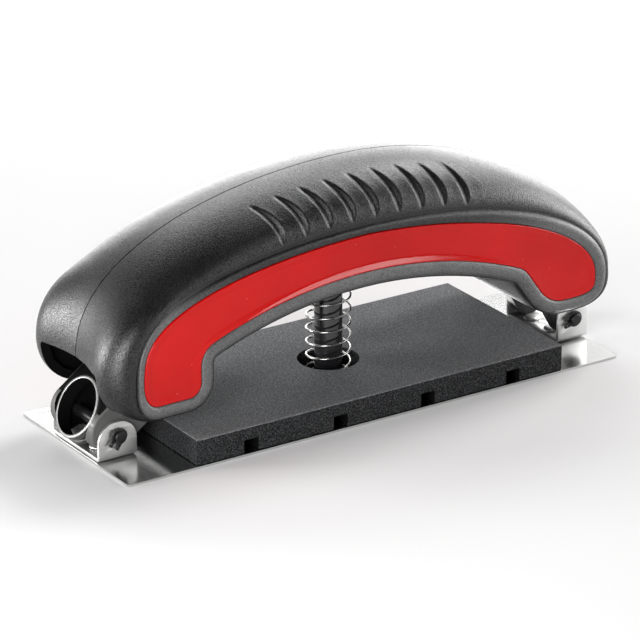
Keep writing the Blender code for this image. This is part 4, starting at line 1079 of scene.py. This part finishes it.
def makeSpring():
    c = column
    bottom = c["footTop"] + clear
    top = bushBottom - clear - c["washer"] - clear
    height = top - bottom - c["wire"]
    # the two end turns lie close, and the turns between share the rest
    active = round((height - 2 * c["endPitch"]) / c["pitch"])
    pitch = (height - 2 * c["endPitch"]) / active
    turns, perTurn = active + 2, 40
    radius = c["springOuter"] - c["wire"] / 2
    curve = bpy.data.curves.new("coilSpring", "CURVE")
    curve.dimensions, curve.bevel_depth, curve.bevel_resolution, curve.use_fill_caps = "3D", c["wire"] / 2, 3, True
    line = curve.splines.new("POLY")
    line.points.add(turns * perTurn)
    for i, point in enumerate(line.points):
        turn = i / perTurn
        rise = c["endPitch"] * (min(turn, 1.0) + max(turn - 1.0 - active, 0.0))
        rise += pitch * min(max(turn - 1.0, 0.0), active)
        angle = 2 * math.pi * turn
        point.co = (c["x"] + radius * math.cos(angle), radius * math.sin(angle), bottom + c["wire"] / 2 + rise, 1.0)
    drawn = bpy.data.objects.new("coilSpring", curve)
    bpy.context.scene.collection.objects.link(drawn)
    bm = bmesh.new()
    bm.from_mesh(drawn.evaluated_get(bpy.context.evaluated_depsgraph_get()).to_mesh())
    bmesh.ops.remove_doubles(bm, verts=bm.verts[:], dist=1e-6)
    bpy.data.objects.remove(drawn)
    spring = meshFrom("coilSpring", bm)
    dress(spring, "spring", "return_spring", None, 60.0)
    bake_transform(spring)


makeColumn()
makeSpring()
print("column and spring made")


# End brackets, pins, clips and rivets

def makeBracket(name, x, length, corner, body, node):
    e = ends
    wall, floor = e["half"] - e["sheet"] / 2, e["deck"] + e["sheet"] / 2
    chain = [(-wall, e["earTop"]), (-wall, floor), (wall, floor), (wall, e["earTop"])]
    bm = bmesh.new()
    rows = [[Vector((end, a, b)) for a, b in chain] for end in (x - length / 2, x + length / 2)]
    loft(bm, rows, closed=False, capped=False)
    folds = [edge for edge in bm.edges if len(edge.link_faces) == 2]
    roundOff(bm, folds, e["bend"] - e["sheet"] / 2, 6, "EDGES")
    tips = [v for v in bm.verts if v.co.z > e["earTop"] - touch]
    roundOff(bm, tips, corner, 14, "VERTICES")
    bmesh.ops.recalc_face_normals(bm, faces=bm.faces[:])
    thing = meshFrom(name, bm, mend=False)
    thick = thing.modifiers.new("sheet", "SOLIDIFY")
    thick.thickness, thick.offset, thick.use_even_offset = e["sheet"], 0.0, True
    bakeModifiers(thing)
    bm = bmesh.new()
    rodAcross(bm, x, e["pinZ"], e["pinRadius"] + clear, -e["half"] - past, e["half"] + past, 48)
    rivetHoles(bm, x, 6 * mm)
    carve(thing, meshFrom("bracketHoles", bm))
    softEdges(thing, e["sheetEdge"], 2, 45.0)
    dress(thing, "bracket", node, body, 35.0)


def makePin(name, x, body, node):
    e = ends
    inner, outer = e["half"] + clear, e["half"] + clear * 3 + e["clip"]
    low = e["pinRadius"] - e["clipGroove"]
    half = [(e["pinRadius"], inner), (low, inner), (low, outer), (e["pinRadius"], outer),
            (e["pinRadius"], e["pinEnd"]), (0.0, e["pinEnd"])]
    profile = softenProfile([(r, -y) for r, y in reversed(half)] + half, e["round"])
    dress(solid(name, turnProfile, profile, 48, alongY(x, e["pinZ"])), "oxide", node, body, 30.0)


def openArc(radius, opening, steps, sign):
    # round from one side of the ring's opening to the other
    start = math.asin(opening / radius)
    turns = [start + (2 * math.pi - 2 * start) * i / steps for i in range(steps + 1)]
    return [(radius * math.cos(turn), sign * radius * math.sin(turn)) for turn in turns]


def makeClip(name, x, side, mouth, body, node):
    # a snap ring: a flat open ring with two eyed lugs
    e = ends
    inner = e["pinRadius"] - e["clipGroove"] + clear
    outer, far = inner + e["clipWidth"], e["clipLug"] * 1.35
    near, tip = far * 0.33, outer + e["clipLug"]
    outline = openArc(outer, far, 40, 1) + [(tip, -far), (tip, -near)]
    outline += openArc(inner, near, 32, -1) + [(tip, near), (tip, far)]
    thing = solid(name, loft, [[Vector((a, b, z)) for a, b in outline] for z in (0.0, e["clip"])])
    bm = bmesh.new()
    for y in (-1, 1):
        place = at((outer + e["clipLug"] * 0.28, y * (far + near) / 2, 0))
        roundRod(bm, e["eye"], 4 * mm, place, 20)
    carve(thing, meshFrom("eyes", bm))
    softEdges(thing, e["clipEdge"], 2, 50.0)
    place = alongY(x, e["pinZ"], side) @ at((0, 0, e["half"] + 2 * clear))
    thing.data.transform(place @ Matrix.Rotation(math.radians(mouth), 4, "Z"))
    dress(thing, "oxide", node, body, 35.0)


def makeRivet(name, x, y, body, node):
    e = ends
    seat, head = e["deck"] + e["sheet"] + clear, e["rivetHead"]
    profile = [(0.0, e["rivetFoot"]), (e["rivetRadius"], e["rivetFoot"]), (e["rivetRadius"], seat)]
    profile += [(head * out, seat + e["rivetHeight"] * up)
                for out, up in ((1.0, 0.0), (0.97, 0.45), (0.72, 0.86), (0.0, 1.0))]
    thing = solid(name, turnProfile, softenProfile(profile, e["rivetRound"]), 48, at((x, y, 0)))
    dress(thing, "bracket", node, body, 40.0)


for label, x, mouth in (("left", leftPinX, 237.0), ("right", rightPinX, 190.0)):
    body = label + "_end"
    makeBracket(label + "Bracket", x, ends[label + "Length"], ends[label + "Corner"], body, label + "_bracket")
    makePin(label + "Pin", x, body, label + "_pin")
    for place, side in (("near", -1), ("far", 1)):
        tag = place.capitalize()
        makeRivet(label + "Rivet" + tag, x - ends["rivetBack"], side * ends["rivetSpan"], body,
                  label + "_rivet_" + place)
        makeClip(label + "Clip" + tag, x, side, -side * mouth, body, label + "_clip_" + place)
print("brackets made")


# Yokes and the end sleeve

sleeve = {"lean": 30.0, "reach": 8.6 * mm, "offset": 2.2 * mm, "outer": 11.0 * mm, "bore": 9.7 * mm,
          "collar": 0.4 * mm, "lip": 2.4 * mm, "length": 5.2 * mm, "depth": 12.5 * mm, "innerRound": 0.15 * mm,
          "outerRound": 0.56 * mm, "grooveDepth": 0.6 * mm, "grooveWidth": 0.8 * mm, "chamfer": 0.2 * mm}


def sleevePlace():
    turn = math.radians(sleeve["lean"])
    out, up = Vector((-math.cos(turn), 0, math.sin(turn))), Vector((math.sin(turn), 0, math.cos(turn)))
    lip = Vector((leftPinX, 0, ends["pinZ"])) + out * sleeve["reach"] + up * sleeve["offset"]
    return at(lip) @ out.to_track_quat("Z", "Y").to_matrix().to_4x4()


def makeYoke(which, look):
    y, s = yokes[which], sleeve
    thing = solid(which + "Yoke", wallPlate, yokeOutline(which), -yokeHalf, yokeHalf)
    softEdges(thing, yokes["edge"], 4, 50.0)
    roof = ends["pinZ"] + yokeRadius * 1.35
    if which == "left":
        profile = boreProfile(s["outer"] + s["collar"] + clear, -s["depth"], s["length"])
        carve(thing, solid("sleeveBore", turnProfile, profile, 96, sleevePlace()))
        roof = ends["pinZ"] - yokes["relief"]
    half, out = yokeHalf - yokes["cheek"], yokeHalf + past
    carve(thing, solid("fork", blockBetween, (y["x"] - 2 * yokeRadius, -half, -past),
                       (y["x"] + 2 * yokeRadius, half, roof)))
    carve(thing, solid("pinHole", rodAcross, y["x"], ends["pinZ"], ends["pinRadius"] + clear, -out, out, 48))
    radius = screwSize["radius"] + clear
    outline = roundedBox(screws[which + "Foot"], (2 * (radius + yokes["play"]), 2 * radius), radius * 0.98)
    carve(thing, solid("slot", wallPlate, outline, -out, out))
    if which == "left":
        # the fork's seat round the sleeve is dark
        back = sleevePlace().inverted()
        for f in thing.data.polygons:
            spot = back @ f.center
            f.material_index = int(math.hypot(spot.x, spot.y) < s["outer"] + 1.1 * mm and spot.z < 0
                                   and abs(f.center.y) < yokeHalf - 0.5 * mm)
    dress(thing, look, which + "_yoke", which + "_arm", 35.0)


def makeSleeve():
    s = sleeve
    collar, groove, low = s["outer"] + s["collar"], s["outer"] - s["grooveDepth"], -s["lip"] - s["grooveWidth"]
    steps = ((0.0, 1.0), (0.3, 0.3), (1.0, 0.0))
    profile = [(s["bore"], -s["length"])] + [(s["bore"] + s["innerRound"] * a, -s["innerRound"] * b) for a, b in steps]
    profile += [(s["outer"] - s["outerRound"] * a, -s["outerRound"] * b) for a, b in reversed(steps)]
    profile += [(s["outer"], -s["lip"] + s["chamfer"]), (groove, -s["lip"]), (groove, low),
                (collar - s["chamfer"], low - 0.1 * mm), (collar, low - 0.3 * mm), (collar, -s["length"])]
    thing = solid("endSleeve", turnProfile, profile, 128, sleevePlace())
    back = sleevePlace().inverted()
    # the bore and the groove wear the near-black inside finish: painted shade
    for f in thing.data.polygons:
        spot = back @ f.center
        radius = math.hypot(spot.x, spot.y) - 0.05 * mm
        f.material_index = int(radius < s["bore"] or (spot.z < -0.5 * mm and radius < groove))
    dress(thing, "nickel inside", "end_sleeve", "left_arm", 40.0)


makeYoke("left", "yoke inside")
makeYoke("right", "oxide")
makeSleeve()
print("yokes and sleeve made")

carried = {"column_clip": "oxide", "guide_bush": "nylon", "spring_washer": "bracket"}
carried.update({"shell_screw_" + place: "bracket" for place in ("left_foot", "left_span", "right_span", "right_foot")})
for label, look in carried.items():
    wear(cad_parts[label], look)


# Studio

studio = {"floor": 3.0, "drop": 0.02 * mm, "lens": 232.6, "sensor": 36.0, "camera": (-0.7136, -1.0883, 0.5605),
          "right": (0.8369, -0.5473, 0.0), "up": (0.2084, 0.3188, 0.9246), "back": (-0.5061, -0.7739, 0.3809),
          "backdrop": (0.547, 0.837, 0.0), "fade": (0.3, 0.8), "room": 0.04, "fill": 0.02,
          "target": Vector((0, 0, 0.04))}
softboxes = {  # turn from +X and rise in degrees, reach, width and height in metres, watts
    "left back": (146.0, 7.0, 1.4, 0.6, 0.5, 28.0), "right front": (334.0, 12.0, 1.4, 0.7, 0.7, 11.0),
    "right": (2.0, 12.0, 1.4, 0.6, 0.6, 11.0), "back strip": (58.0, 4.0, 1.4, 1.2, 0.25, 8.0),
    "right high": (22.0, 45.0, 1.4, 0.5, 0.5, 13.0), "back high": (68.0, 38.0, 1.4, 0.7, 0.45, 7.0),
    "left front": (214.0, 10.0, 0.5, 0.25, 0.25, 2.9),
    "front strip": (300.0, 12.0, 1.0, 0.55, 0.06, 1.1)}


def makeCamera():
    data = bpy.data.cameras.new("camera")
    data.lens, data.sensor_width, data.clip_end = studio["lens"], studio["sensor"], 20.0
    thing = bpy.data.objects.new("camera", data)
    bpy.context.scene.collection.objects.link(thing)
    place = Matrix([studio[axis] for axis in ("right", "up", "back")]).transposed().to_4x4()
    place.translation = studio["camera"]
    thing.matrix_world = place
    bpy.context.scene.camera = thing


def makeFloor():
    bm = bmesh.new()
    bmesh.ops.create_grid(bm, x_segments=1, y_segments=1, size=studio["floor"])
    bmesh.ops.translate(bm, vec=(0, 0, -studio["drop"]), verts=bm.verts[:])
    floor = meshFrom("floor", bm, mend=False)
    floor.data.materials.append(Finish("pale floor", (0.68, 0.68, 0.68), 0.9, 0.0, 0.0).material)


def makeLamp(name, turn, rise, reach, width, height, power):
    data = bpy.data.lights.new(name, "AREA")
    data.shape, data.size, data.size_y, data.energy = "RECTANGLE", width, height, power
    thing = bpy.data.objects.new(name, data)
    a, e = math.radians(turn), math.radians(rise)
    place = Vector((math.cos(a) * math.cos(e), math.sin(a) * math.cos(e), math.sin(e))) * reach + studio["target"]
    thing.location = place
    thing.rotation_euler = (place - studio["target"]).to_track_quat("Z", "Y").to_euler()
    bpy.context.scene.collection.objects.link(thing)


def makeWorld():
    world = bpy.data.worlds.new("studio")
    bpy.context.scene.world = world
    world.use_nodes = True
    tree = world.node_tree
    lit = tree.nodes["Background"]
    lit.inputs["Color"].default_value = (1.0, 1.0, 1.0, 1.0)
    lit.inputs["Strength"].default_value = studio["fill"]
    seen = tree.nodes.new("ShaderNodeBackground")
    seen.inputs["Strength"].default_value = 1.0
    path = tree.nodes.new("ShaderNodeLightPath")
    # the white backdrop stands behind the block, and the room in front of it is dim
    ray = tree.nodes.new("ShaderNodeTexCoord").outputs["Generated"]
    fade = rangeNode(tree, dotNode(tree, ray, studio["backdrop"]), *studio["fade"], studio["room"], 1.0)
    fade.node.interpolation_type = "SMOOTHSTEP"
    tree.links.new(mathNode(tree, "MAXIMUM", path.outputs["Is Camera Ray"], fade), seen.inputs["Color"])
    mix = tree.nodes.new("ShaderNodeMixShader")
    shown = mathNode(tree, "MAXIMUM", path.outputs["Is Camera Ray"], path.outputs["Is Glossy Ray"])
    for socket, value in zip(mix.inputs, (shown, lit.outputs[0], seen.outputs[0])):
        tree.links.new(value, socket)
    tree.links.new(mix.outputs[0], tree.nodes["World Output"].inputs["Surface"])


makeCamera()
makeFloor()
makeWorld()
for label, sizes in softboxes.items():
    makeLamp(label, *sizes)
bpy.context.scene.view_settings.view_transform = "Standard"
print("studio made")
